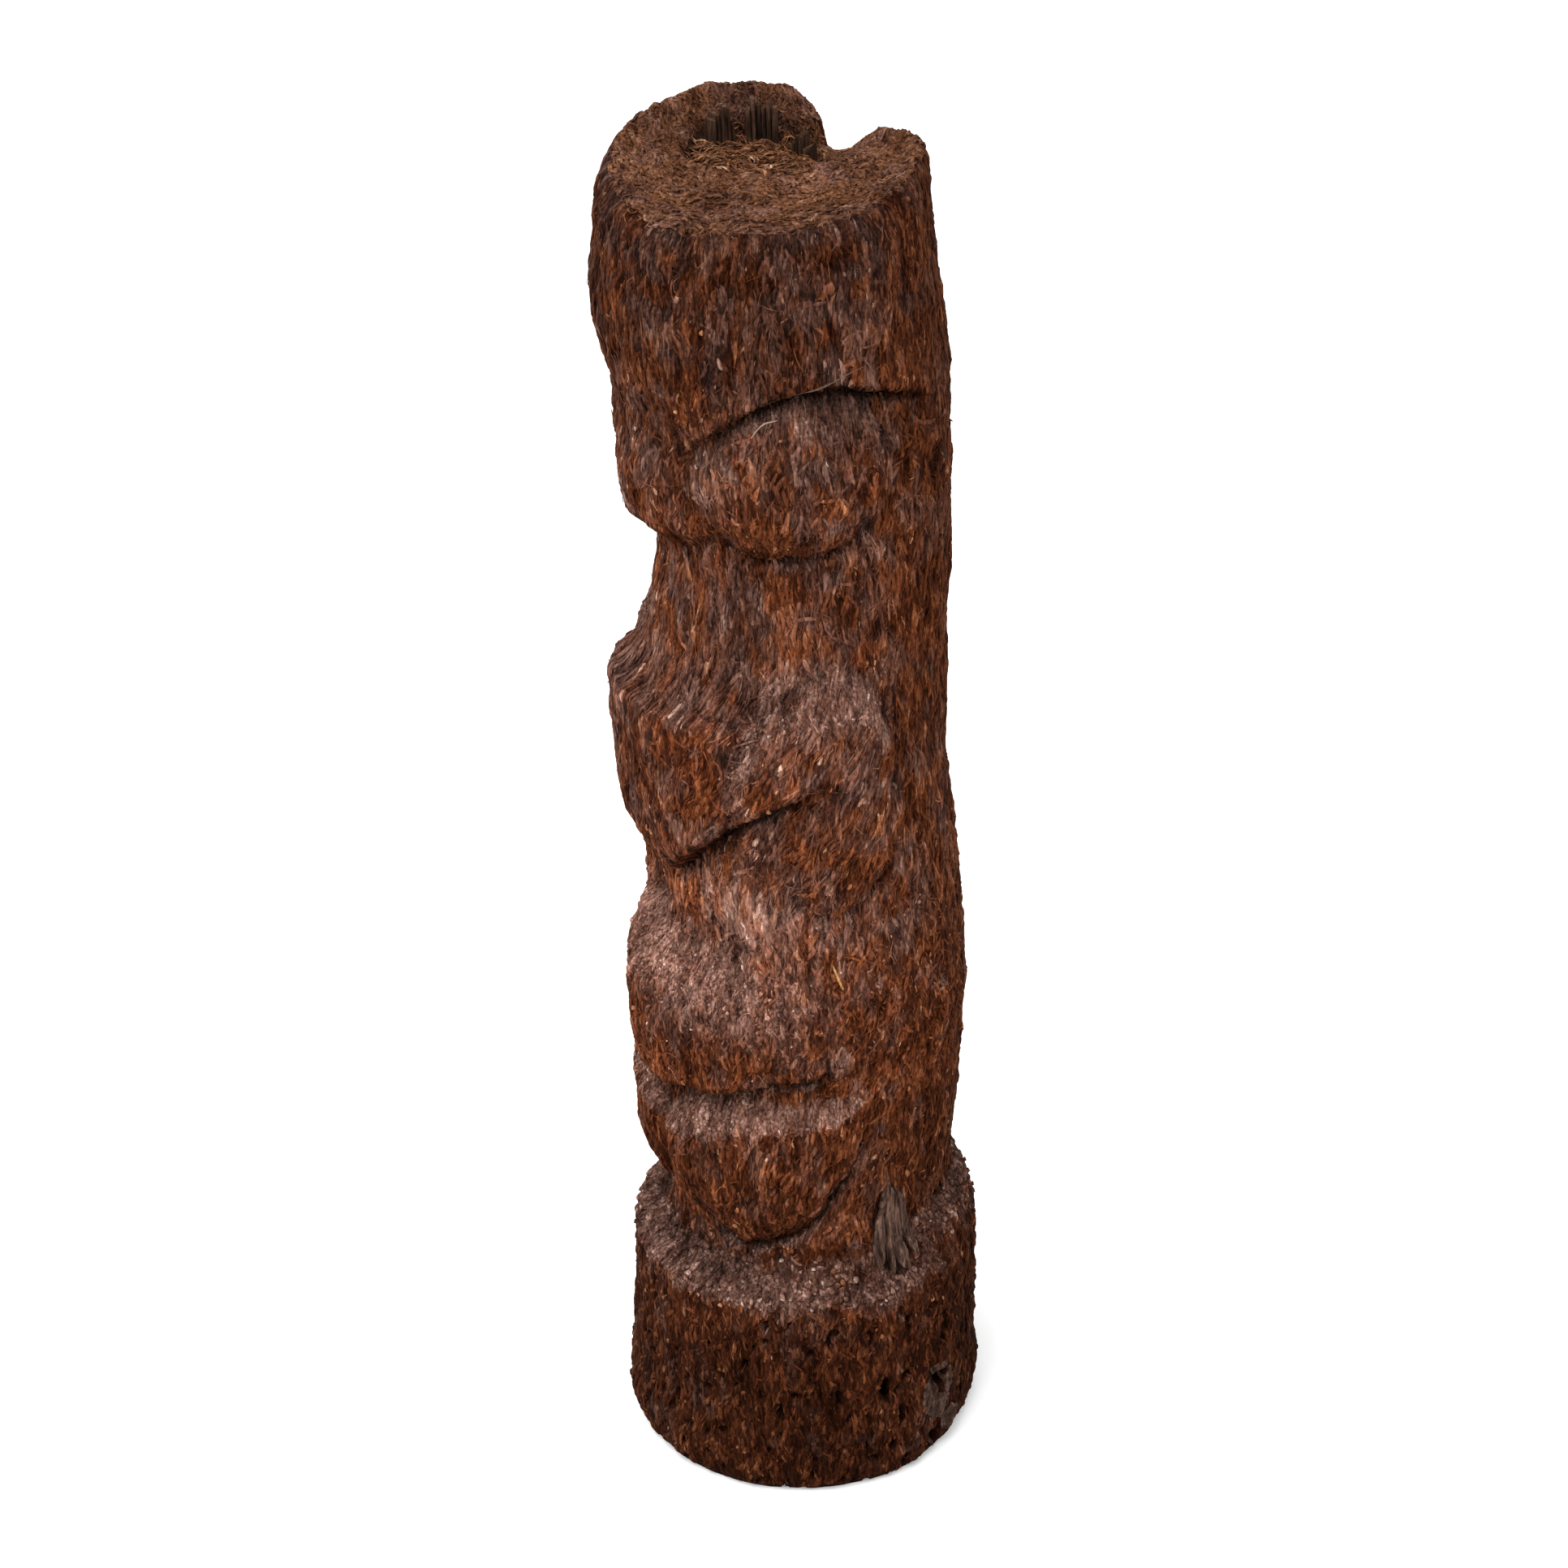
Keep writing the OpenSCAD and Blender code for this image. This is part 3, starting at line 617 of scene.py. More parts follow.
def look_at(phi, z):
    """Dust, shade, tone and hue of the outer surface at an angle and nominal height."""
    x, y = on_drum(phi)

    def mottle(width, height, seed):
        return noise(x / width, y / width, z / height, LOOK_SEED + seed)

    a = np.abs(wrap(phi))
    up = slope_up(phi, z)
    dust = ease((up - 0.08) / 0.5)
    dust = np.maximum(dust, 0.2 * ease((mottle(16, 16, 1) - 0.2) / 0.5))
    dust *= 1 - 0.9 * (z < 80) * (1 - hill((z - 92) / 14))
    dust *= 1 - 0.85 * ease((52 - a) / 12) * ease((z - 300) / 20) * ease((430 - z) / 20)
    band = np.interp(a, [36, 40, 49, 55, 68, 82, 92, 100], [345, 356, 376, 389, 396, 397, 390, 380])
    arc = ease((band - z + 3) / 5) * ease((z - band + 30) / 14) * ease((a - 36) / 6) * ease((104 - a) / 12)
    arc *= (0.8 + 0.4 * mottle(4, 4, 8)) * (1.1 - 0.35 * ease((a - 60) / 24))
    on_arm = ease((z - 322) / 16) * ease((a - 30) / 10) * (z < 404)
    dust = dust * (1 - on_arm) + np.minimum(1, 1.1 * arc) * on_arm
    drift = ease((76 - a) / 22) * ease((z - 216) / 20) * ease((268 - z) / 14)
    drift *= 0.75 + 0.5 * mottle(4, 5, 6)
    dust = np.maximum(dust, 0.8 * drift) * (1 - 0.9 * ease((z - 545) / 18))
    # Painted shade and painted light: hollows in the relief are darkened and bumps lightened, as light falls
    # on them.
    around = [skin_r(phi + da, z + dz) for da, dz in ((8, 0), (-8, 0), (0, 9), (0, -9))]
    hollow = np.mean(around, axis=0) - skin_r(phi, z)
    shade = np.interp(z, LIGHTNESS[:, 0], LIGHTNESS[:, 1]) * (1 - 0.55 * ease((hollow - 0.3) / 3.6))
    shade *= 1 + 0.25 * ease((-hollow - 0.3) / 2.5)
    # Painted shade: the back, away from the lamps, is painted darker, less so on the head.
    shade *= 1 - (0.32 - 0.2 * ease((z - 490) / 30)) * ease((a - 92) / 40)
    shade *= 1 + 0.16 * ease((a - 66) / 16) * ease((z - 500) / 20)
    shade *= 1 + 0.30 * ease((84 - a) / 20) * hill((z - 272) / 24) * (1 - dust)
    # Painted shade: the faces turned down, the knife cuts, the rotted holes and the gaps round the shards of
    # other wood are darkened.
    shade *= 1 - 0.5 * ease((-up - 0.1) / 0.6)
    shade *= 1 - 0.6 * ease(furrows(a, z) / 2.2)
    shade *= 1 - 0.85 * ease(pits(phi, z) / 3)
    shade *= 1 - 0.6 * is_bare(phi, z)
    shade *= 1 + 0.20 * mottle(10, 15, 2)
    shade *= 1 + (np.interp(z, DUST_LIGHT[:, 0], DUST_LIGHT[:, 1]) - 1) * dust
    blotch = mottle(3.6, 7, 5)
    streak = mottle(2.8, 22, 7) * (0.05 + 0.07 * ease((z - 480) / 30))
    tone = 0.09 * strands(phi, z) + 0.12 * blotch + streak + stain(phi, z, 4)
    hue = 0.20 + 0.45 * up + 0.75 * mottle(6, 9, 3)
    hue += 0.3 * mottle(22, 28, 4)
    hue -= 0.32 * (z < 92) + 0.22 * ease((208 - z) / 14) * (z > 118) + 0.45 * ease((a - 98) / 20)
    hue += 0.14 * ease((z - 225) / 30) * ease((520 - z) / 30) + 0.12 * ease((z - 555) / 15)
    return dust, shade, tone, hue + stain(phi, z, 5)


# ---------- the mantle
SIDES = 360
wall_z = np.concatenate([[0, 1.2, 3, 5], np.arange(7, NOMINAL_H - 20, 1.75),
                         np.linspace(NOMINAL_H - 18, NOMINAL_H, 12)])
top_t = np.linspace(0, 1, 40)[1:]
bore_t = np.linspace(0, 1, 9)[1:]
ring_phi = np.arange(SIDES) * 360.0 / SIDES
phi_w, z_w = np.meshgrid(ring_phi, wall_z)
wall = place(phi_w, skin_r(phi_w, z_w), z_w)
phi_t, t_t = np.meshgrid(ring_phi, top_t)
top = top_point(phi_t, t_t)
bore = np.stack([core_point(ring_phi, BORE_R, mouth_z(ring_phi) * (1 - t)) for t in bore_t])
wall[0, :, 2] = 0.0
rings = np.concatenate([wall, top, bore])
count = len(rings)
dust_w, shade_w, tone_w, hue_w = look_at(phi_w, z_w)
top_dust = np.full(phi_t.shape, 0.3)
# Painted shade: the crater's wall, from its lip down to the bore, is darker than the worn top.
top_shade = np.where(t_t > 0.8, 0.4, 0.72) * np.ones_like(phi_t)
low = np.zeros((len(bore_t), SIDES))
# Painted shade: the skin between the roots is painted darker so the gaps read as shade, and the bore darker
# still.
skin_look = {
    "dust": np.concatenate([dust_w, top_dust, low]),
    "shade": 0.65 * np.concatenate([shade_w, 1.2 * top_shade, low + 0.2]),
    "tone": np.concatenate([0.40 + tone_w, 0.42 + 0 * top_dust, low + 0.3]),
    "hue": np.concatenate([hue_w, 0.5 + 0 * top_dust, low + 0.5]),
}
j, i = np.meshgrid(np.arange(count), np.arange(SIDES), indexing="ij")
k, m = (j + 1) % count, (i + 1) % SIDES
quads = np.stack([j * SIDES + i, j * SIDES + m, k * SIDES + m, k * SIDES + i], -1).reshape(-1, 4)
v_edges = np.concatenate([
    np.linspace(0, 0.80, len(wall_z)), 0.80 + 0.17 * top_t, 0.97 + 0.02 * bore_t, [1.0]])
v0, v1 = v_edges[j], v_edges[j + 1]
u0, u1 = i / SIDES, (i + 1) / SIDES
mantle_uv = corners((u0, u1, u1, u0), (v0, v0, v1, v1))
mantle = add_mesh("mantle_body", rings, quads, mantle_uv, skin_look, skin_mat)
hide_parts("root_mantle")
mantle_tree = BVHTree.FromPolygons([Vector(v) for v in rings.reshape(-1, 3)], quads.tolist())


# ---------- roots over the outside
def mean_lean(phi, z):
    """Which way the roots run, in degrees from upright; positive leans away from the face."""
    a, side = np.abs(wrap(phi)), np.sign(wrap(phi))
    arm = ease((z - 285) / 20) * ease((402 - z) / 20) * ease((a - 14) / 20) * ease((105 - a) / 20)
    brow = ease((z - 470) / 25) * ease((530 - z) / 15) * ease((60 - a) / 30)
    behind_knee = hill((a - 88) / 20) * ease((z - 104) / 20) * ease((250 - z) / 60)
    on_knee = hill((a - 60) / 18) * ease((z - 112) / 20) * ease((196 - z) / 30)
    return side * (24 * arm + 12 * brow + 16 * behind_knee + 14 * on_knee)


# Each stretch of the outside: lowest and highest nominal height, how far its roots stray from their lean in
# degrees, and how many times the usual length they are.
BANDS = [("base", 2, 97, 20, 0.9), ("ledge", 90, 132, 36, 0.9), ("knees", 118, 206, 15, 1.1),
         ("belly", 184, 288, 24, 1.0), ("arms", 272, 402, 12, 1.6), ("cheeks", 380, 462, 11, 1.7),
         ("eyes", 440, 520, 20, 1.2), ("headdress", 496, 587, 8, 1.5)]
# Matted clumps lie sunk in the surface, and single roots lie over them. Sizes are in millimetres, and
# per_mm is how many start in each millimetre of height.
CLUMPS = {"name": "clumps_", "per_mm": 56, "length": (4.0, 10.5), "thickness": (0.65, 1.45), "flat": 0.42,
          "sink": (-0.6, 0.1), "arch": 0.5, "wild": 0.05, "loose": 0.0, "taper": (0.2, 0.85, 1.0, 0.8, 0.2),
          "glint_fleck": 0.015, "mottle": 0.07}
ROOTS = {"name": "roots_", "per_mm": 40, "length": (2.5, 8.5), "thickness": (0.20, 0.48), "flat": 0.8,
         "sink": (-0.9, 0.6), "arch": 0.5, "wild": 0.14, "loose": 0.02, "taper": (0.6, 1.0, 1.0, 0.5),
         "glint_fleck": 0.05, "mottle": 0.085}
# Crumbs of grit and root lie only where dust has settled.
CRUMBS = {"name": "crumbs_", "length": (1.0, 3.0), "thickness": (0.40, 0.95), "flat": 0.85,
          "sink": (-0.2, 0.5), "arch": 0.3, "wild": 1.0, "loose": 0.0, "taper": (0.5, 1.0, 1.0, 0.45),
          "glint_fleck": 0.03, "mottle": 0.15}
TRIANGLE_LIMIT = 190000  # in one piece


def lay(phi, z, lean, bend, length, steps):
    """Paths over the surface as angle, height and radius, and the straight line between their ends."""
    s = length[:, None] * steps
    across = s * np.sin(lean)[:, None] + bend[:, None] * s * s * np.cos(lean)[:, None]
    rise = s * np.cos(lean)[:, None] - bend[:, None] * s * s * np.sin(lean)[:, None]
    phi_p = phi[:, None] + np.degrees(across / skin_r(phi, z)[:, None])
    z_p = np.clip(z[:, None] + rise, 1.3, NOMINAL_H - 0.5)
    r_p = skin_r(phi_p, z_p)
    return phi_p, z_p, r_p, r_p[:, :1] + (r_p[:, -1:] - r_p[:, :1]) * (steps + 0.5)


def surface_roots(kind, label, z_lo, z_hi, number, spread, longer, seed):
    """One piece of roots, clumps or crumbs over a stretch of the outside."""
    rng = np.random.default_rng(seed)
    rings = len(kind["taper"])
    steps = np.linspace(-0.5, 0.5, rings)
    phi = rng.uniform(-180, 180, number)
    z = rng.uniform(z_lo, z_hi, number)
    if kind["name"] == "crumbs_":
        dusty = look_at(phi, z)[0] > rng.uniform(0.15, 1.0, number)
        phi, z = phi[dusty], z[dusty]
    open_place = ~is_bare(phi, z)
    phi, z = phi[open_place], z[open_place]
    number = len(phi)
    wild = rng.random(number) < kind["wild"]
    lean = np.radians(mean_lean(phi, z) + rng.normal(0, 1, number) * np.where(wild, 55, spread))
    length = longer * rng.uniform(*kind["length"], number)
    # Glint flecks: a few short bits of root painted bright, partly bright root and partly painted glints.
    glint_fleck = rng.random(number) < kind["glint_fleck"] * 3 * rng.random(number)
    length = np.where(glint_fleck, 0.4 * length, length)
    thickness = rng.uniform(*kind["thickness"], number)
    bend = rng.normal(0, 0.035, number)
    _, _, r_p, straight = lay(phi, z, lean, bend, length, steps)
    length = np.where(np.abs(r_p - straight).max(1) > 1.5, 0.45 * length, length)
    phi_p, z_p, r_p, straight = lay(phi, z, lean, bend, length, steps)
    r_p = r_p + 0.35 * np.maximum(0, straight - r_p)
    sink = rng.uniform(*kind["sink"], number)
    arch = kind["arch"] * rng.uniform(0.5, 1.2, number) * np.minimum(1, thickness * 1.2)
    arch = arch[:, None] * (0.5 - (2 * steps) ** 2)
    loose = (rng.random(number) < kind["loose"]) * rng.uniform(0.5, 1.6, number)
    flip = np.where(rng.random(number) < 0.5, 1, -1)
    tail = loose[:, None] * np.clip(flip[:, None] * steps * 2, 0, 1) ** 1.5
    paths = place(phi_p, r_p + (sink * thickness)[:, None] + arch + tail, z_p)
    slope = (skin_r(phi, z + 2) - skin_r(phi, z - 2)) / 4
    p = np.radians(phi)
    up = unit(np.stack([np.sin(p), -np.cos(p), -slope], -1))
    radii = thickness[:, None] * np.array(kind["taper"]) * rng.uniform(0.9, 1.1, (number, rings))
    verts, faces, uvs = tubes(paths, radii, up, flat=kind["flat"])
    dust, shade, tone, hue = look_at(phi, z)
    calm = 1 - 0.4 * dust
    tone = tone + 0.49 + rng.normal(0, kind["mottle"], number) * calm
    # Painted highlight in part: the glint flecks get a bright tone.
    tone = np.where(glint_fleck, rng.uniform(0.70, 0.90, number), tone)
    # Painted shade: roots sunk deeper into the mat are painted darker than those that stand proud.
    height = (sink - kind["sink"][0]) / (kind["sink"][1] - kind["sink"][0])
    values = {
        "tone": tone,
        "hue": hue + rng.normal(0, 0.13, number),
        "dust": dust * rng.uniform(0.7, 1.1, number),
        "shade": shade * (0.72 + 0.42 * height),
    }
    looks = {key: per_ring(np.repeat(value[:, None], rings, 1)) for key, value in values.items()}
    piece = add_mesh(kind["name"] + label, verts, faces, uvs, looks, fibre_mat)


for index, (band, z_lo, z_hi, spread, longer) in enumerate(BANDS):
    for kind in (CLUMPS, ROOTS):
        number = int(kind["per_mm"] * (z_hi - z_lo) * (0.5 if band == "ledge" else 1))
        triangles = number * (8 * (len(kind["taper"]) - 1) + 4)
        parts = math.ceil(triangles / TRIANGLE_LIMIT)
        for part in range(parts):
            label = band if parts == 1 else band + "_" + "abc"[part]
            seed = 100 + 20 * index + 2 * part + (kind is ROOTS)
            surface_roots(kind, label, z_lo, z_hi, number // parts, spread, longer, seed)
surface_roots({**CRUMBS, "thickness": (0.55, 1.5), "mottle": 0.21}, "ledge", 87, 124, 5600, 0, 1, 280)
surface_roots(CRUMBS, "knees", 160, 206, 5200, 0, 1, 281)
surface_roots(CRUMBS, "belly", 214, 286, 9000, 0, 1, 282)
surface_roots(CRUMBS, "arms", 350, 402, 6000, 0, 1, 283)


# ---------- the worn top and the crater's litter
def fill_z(x, y):
    """Height of the rotted litter that fills the crater, a little lower at the notch and at the back."""
    dx, dy = x - CRATER_CENTRE[0], y - CRATER_CENTRE[1]
    front = dx * math.sin(math.radians(CRATER_FRONT)) - dy * math.cos(math.radians(CRATER_FRONT))
    notch = dx * math.sin(math.radians(188)) - dy * math.cos(math.radians(188))
    z = 572.5 + 0.10 * front - 0.014 * np.maximum(0, notch) ** 2
    return SCALE_Z * z + 1.6 * noise(x / 6, y / 6, 0 * x, 41) + 0.9 * noise(x / 2.6, y / 2.6, 0 * x, 42)


def height_at(points):
    """Height of the worn top or of the crater's litter at points (n, 2)."""
    heights = np.zeros(len(points))
    for n, (x, y) in enumerate(points):
        hit, _, _, _ = mantle_tree.ray_cast(Vector((x, y, 700.0)), Vector((0, 0, -1)))
        heights[n] = hit.z if hit else 0
    inside = np.hypot(points[:, 0] - CRATER_CENTRE[0], points[:, 1] - CRATER_CENTRE[1]) < 26
    return np.where(inside, np.maximum(heights, fill_z(points[:, 0], points[:, 1])), heights)


def top_roots(name, start, heading, length, thickness, curl, lift, flat, looks, material, rng):
    """Curled roots lying over the top, each from a start point, a heading and a length."""
    steps = np.linspace(-0.5, 0.5, 6)
    number = len(start)
    turn = rng.normal(0, curl, number)[:, None] * steps
    turn = turn + rng.normal(0, curl, number)[:, None] * (steps ** 2 - 0.1)
    d = np.stack([np.cos(heading[:, None] + turn), np.sin(heading[:, None] + turn)], -1)
    xy = start[:, None, :] + np.cumsum(d, 1) * (length / 6)[:, None, None]
    xy = xy - d.sum(1)[:, None] * (length / 12)[:, None, None]
    heights = height_at(xy.reshape(-1, 2)).reshape(number, 6)
    middle = np.median(heights, axis=1, keepdims=True)
    heights = np.clip(heights, middle - 2.5, middle + 2.5)
    rise = rng.uniform(*lift, number)[:, None] * (1 - (2 * steps) ** 2)
    rise = rise + rng.uniform(-0.7, 0.5, number)[:, None] * thickness[:, None]
    paths = np.concatenate([xy, (heights + rise)[..., None]], -1)
    keep = middle[:, 0] > 500
    radii = thickness[:, None] * np.array([0.3, 0.85, 1.0, 1.0, 0.85, 0.3])
    upward = np.tile([0.0, 0.0, 1.0], (int(keep.sum()), 1))
    verts, faces, uvs = tubes(paths[keep], radii[keep], upward, flat=flat)
    values = {key: per_ring(np.repeat(value[keep][:, None], 6, 1)) for key, value in looks.items()}
    piece = add_mesh(name, verts, faces, uvs, values, material)


def top_cover(name, number, length, thickness, flat, seed):
    """Roots over the worn top, from the rim to the crater's wall, with painted shade that darkens them where
    the crater goes down at the back.
    """
    rng = np.random.default_rng(seed)
    phi = rng.uniform(0, 360, number)
    start = top_point(phi, rng.uniform(0.0, 0.83, number))
    x, y, z = start.T
    heading = np.radians(phi) + rng.normal(0, 0.8, number)
    blotch = noise(x / 6, y / 6, z / 6, 31)
    dx, dy = x - CRATER_CENTRE[0], y - CRATER_CENTRE[1]
    back = ease(-np.cos(np.arctan2(dx, -dy) - math.radians(CRATER_FRONT)) + 0.2)
    # Painted shade: roots by the back of the crater, where it goes down, are painted darker.
    crater_shade = back * ease((37 + 3 * blotch - np.hypot(dx, dy)) / 6)
    looks = {
        "tone": 0.50 + 0.10 * blotch + rng.normal(0, 0.06, number) - 0.04 * crater_shade,
        "hue": 0.30 + 0.5 * noise(x / 9, y / 9, z / 9, 32) + rng.normal(0, 0.15, number),
        "dust": rng.uniform(0.0, 0.15, number),
        "shade": 0.9 * (1 + 0.2 * noise(x / 13, y / 13, z / 13, 33)) * (1 - 0.28 * crater_shade),
    }
    top_roots(name, start[:, :2], heading, rng.uniform(*length, number), rng.uniform(*thickness, number), 1.0,
              (0.0, 0.7), flat, looks, litter_mat, rng)


def crater_litter(number, seed):
    """Ochre strips that fill the crater and spill into the notch."""
    rng = np.random.default_rng(seed)
    centre = CRATER_CENTRE[:2]
    angle, reach = rng.uniform(0, 2 * np.pi, number), 26.5 * np.sqrt(rng.random(number))
    start = centre + reach[:, None] * np.stack([np.sin(angle), -np.cos(angle)], -1)
    spill = rng.random(number) < 0.14
    along, across = rng.uniform(0.5, 1.0, number), rng.normal(0, 4, number)
    out = np.array([math.sin(math.radians(NOTCH_ANGLE)), -math.cos(math.radians(NOTCH_ANGLE))])
    notch = centre + (54 * out - centre) * along[:, None] + across[:, None] * np.array([-out[1], out[0]])
    start = np.where(spill[:, None], notch, start)
    heading = math.radians(CRATER_FRONT) + rng.normal(0, 0.6, number)
    looks = {
        "tone": 0.54 + rng.normal(0, 0.14, number),
        "hue": rng.normal(0.05, 0.15, number),
        "dust": np.zeros(number),
        "shade": rng.uniform(0.55, 1.05, number),
    }
    top_roots("crater_strips", start, heading, rng.uniform(4, 15, number), rng.uniform(0.3, 0.85, number),
              1.1, (0.0, 2.2), 0.4, looks, litter_mat, rng)


top_cover("clumps_top", 4100, (3.5, 9), (0.6, 1.3), 0.5, 300)
top_cover("roots_top", 2600, (3.0, 10), (0.22, 0.45), 0.8, 301)
crater_litter(1500, 302)


# ---------- the woody core
PLATE_STEP = 45.0
PLATE_START = -120.0
PLATE_TOPS = [590, 588, 564, 560, 556, 552, 556, 576]


def pith_outline(phi):
    """The pith's radius: round, with a ray of it between each pair of plates."""
    off = np.abs((phi - PLATE_START) % PLATE_STEP - PLATE_STEP / 2)
    return 18.4 + 6.0 * ease((5.2 - off) / 2.0)


PITH_TOP = 546.0 * SCALE_Z
pith_phi = np.arange(160) * 360.0 / 160
pith_levels = [(1, 0.0), (1, 200.0), (1, 400.0), (1, PITH_TOP - 20), (1, PITH_TOP - 2), (0.94, PITH_TOP),
               (0.7, PITH_TOP - 3), (0.4, PITH_TOP - 6), (0.1, PITH_TOP - 7)]
pith_rings = [core_point(pith_phi, share * pith_outline(pith_phi), height) for share, height in pith_levels]
pith_verts, pith_faces, pith_uvs = lofts(np.stack(pith_rings)[None])
pith = add_mesh("pith_body", pith_verts, pith_faces, pith_uvs, {"shade": np.full(len(pith_verts), 0.8)},
                pith_mat)
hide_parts("pith_core")

# The bed of rotted litter in the crater: its foot lies on the pith, and its top follows fill_z.
litter_phi = np.arange(96) * 3.75
litter_rings = [core_point(litter_phi, 14.0, 548.0 * SCALE_Z),
                core_point(litter_phi, 22.0, 552.0 * SCALE_Z)]
for radius in (24.6, 24.0, 22.5, 21, 19, 17, 15, 13, 11, 9, 7, 5, 3, 1):
    ring = core_point(litter_phi, radius, 570.0 * SCALE_Z)
    ring[:, 2] = fill_z(ring[:, 0], ring[:, 1]) - (2.5 if radius > 24.3 else 0.8)
    litter_rings.append(ring)
litter_verts, litter_faces, litter_uvs = lofts(np.stack(litter_rings)[None])
litter_look = {"tone": np.full(len(litter_verts), 0.42), "hue": np.full(len(litter_verts), 0.1),
               "dust": np.zeros(len(litter_verts)), "shade": np.full(len(litter_verts), 0.5)}
litter = add_mesh("crater_litter", litter_verts, litter_faces, litter_uvs, litter_look, litter_mat)


def woody_plate(index):
    """One plate of the ring, split into slabs that broke off at their own heights."""
    rng = np.random.default_rng(500 + index)
    middle = PLATE_START + PLATE_STEP * index
    slabs, half_turn = 6, 16.0
    edges = np.linspace(-half_turn, half_turn, slabs + 1)
    heights = np.array([0, 0.5, 0.9, 0.955, 0.968, 0.978, 0.986, 0.993, 1.0])
    rings = []
    for n in range(slabs):
        top = SCALE_Z * (PLATE_TOPS[index] - rng.uniform(0, 8) - 2.0 * abs(n - 2.5) / 2.5)
        inner = 19.2 + rng.uniform(-0.4, 0.9)
        outer = 24.9 - rng.uniform(0, 0.9)
        a0, a1 = middle + edges[n] + 0.25, middle + edges[n + 1] - 0.25
        corner_a = np.array([a0, a0 + 0.8, a1 - 0.8, a1, a1, a1 - 0.8, a0 + 0.8, a0])
        corner_r = np.array([outer - 0.8, outer, outer, outer - 0.8, inner + 0.8, inner, inner, inner + 0.8])
        tilt = rng.uniform(-1.6, 1.6, 2)
        for level, share in enumerate(heights):
            wear = rng.uniform(-0.28, 0.28, 8) * (share > 0.9)
            slant = tilt[0] * (corner_r - 22) / 3 + tilt[1] * np.linspace(-1, 1, 8)
            z = top * share + (share == 1.0) * slant
            shrink = 0.35 * (share == 1.0)
            r = corner_r + wear + shrink * np.where(corner_r > 22, -1, 1)
            rings.append(core_point(corner_a, r, np.minimum(z, 588.0 * SCALE_Z)))
    rings = np.array(rings).reshape(slabs, len(heights), 8, 3)
    verts, faces, uvs = lofts(rings)
    slab_shade = np.repeat(rng.uniform(0.6, 1.15, slabs), len(heights) * 8)
    tip = np.tile(np.repeat(np.where(heights == 1.0, 1.5, 1.0), 8), slabs)
    piece = add_mesh(f"plate_{index + 1}", verts, faces, uvs, {"shade": slab_shade * tip}, plate_mat, False)
    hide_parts(f"woody_plate_{index + 1}")


for index in range(8):
    woody_plate(index)


# ---------- leaf-trace wood and loose roots
def shards(name, node, pieces, material, seed):
    """Flat shards of old wood on the skin, as one piece. Each has its angle, height, half width, half height,
    tilt in degrees, how pointed its ends are and how far it stands proud."""
    sides = 40
    theta = np.arange(sides) * 2 * np.pi / sides
    spans = [(0.05, -1.5), (0.6, -1.5), (0.96, -1.2), (1.0, 0.0), (0.97, 0.7), (0.88, 1.0), (0.74, 1.0),
             (0.6, 1.0), (0.46, 1.0), (0.32, 1.0), (0.18, 1.0), (0.05, 1.0)]
    rings, shade = [], []
    for n, (phi, z, half_w, half_h, tilt, pointed, proud) in enumerate(pieces):
        for reach, level in spans:
            u = np.sin(theta) * np.abs(np.sin(theta)) ** pointed
            v = np.cos(theta)
            uneven = noise(3 * np.sin(theta), 3 * np.cos(theta), 0 * theta + n, seed)
            ragged = 1 + (0.04 if pointed else 0.16) * uneven
            across, rise = half_w * u * reach * ragged, half_h * v * reach * ragged
            across = across + rise * math.tan(math.radians(tilt))
            at_phi, at_z = phi + np.degrees(across / DRUM_R), np.maximum(z + rise, 1.5)
            grain = noise(across / 0.8, 0 * across, at_z / 14, seed + 1)
            grain = grain + 0.5 * noise(across / 0.4, 0 * across, at_z / 6, seed + 2)
            swirl = noise(across / 2.2, 0 * across, at_z / 2.2, seed + 3)
            height = proud * level + (0.5 * grain if pointed else 0.7 * swirl + 0.2 * grain) * (level > 0)
            base = np.mean([skin_r(at_phi + d, at_z) for d in (-1.5, 0, 1.5)], axis=0)
            rings.append(place(at_phi, base + height, at_z))
            # Each shard's rim is painted lighter, and its foot, sunk into the skin, painted dark as shade in
            # the gap round it.
            shade.append((0.95 + 0.5 * grain + (0.7 if reach > 0.9 else 0)) * np.where(level > 0, 1, 0.3))
    verts, faces, uvs = lofts(np.array(rings).reshape(len(pieces), len(spans), sides, 3))
    looks = {"shade": np.clip(np.concatenate(shade), 0.15, 1.8)}
    piece = add_mesh(name, verts, faces, uvs, looks, material)
    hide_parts(node)


shards("leaf_splinters", "leaf_trace_upper", [
    (93.0, 117, 3.1, 14, 7, 0.5, 2.0), (99.3, 122, 3.6, 20, -2, 0.6, 3.2),
    (104.6, 120, 2.3, 16, -10, 0.5, 2.2), (96.4, 138, 0.9, 6, 24, 0.2, 2.2),
    (94.6, 130, 0.8, 7, 26, 0.2, 1.8), (103, 134, 1.5, 6, -24, 0.2, 2.0),
    (96.4, 110, 1.1, 9, 3, 0.2, 2.2), (101.8, 108, 1.1, 8, -4, 0.2, 2.4),
    (90.2, 112, 1.0, 6, 10, 0.2, 1.4)], trace_mat, 61)
shards("worn_patch", "leaf_trace_lower", [
    (107.2, 32, 4.6, 9, 6, 0.0, 0.9), (111.5, 24, 6.0, 6, 0, 0.0, 1.0), (116.8, 33, 3.4, 8, 0, 0.0, 0.8),
    (112, 44, 5.0, 2.4, -6, 0.0, 0.8), (117.5, 12.5, 6.5, 5.5, 0, 0.0, 1.0), (100, 14, 1.4, 5, 5, 0.3, 0.9),
    (108, 8, 1.2, 4, 0, 0.3, 0.9)], patch_mat, 62)


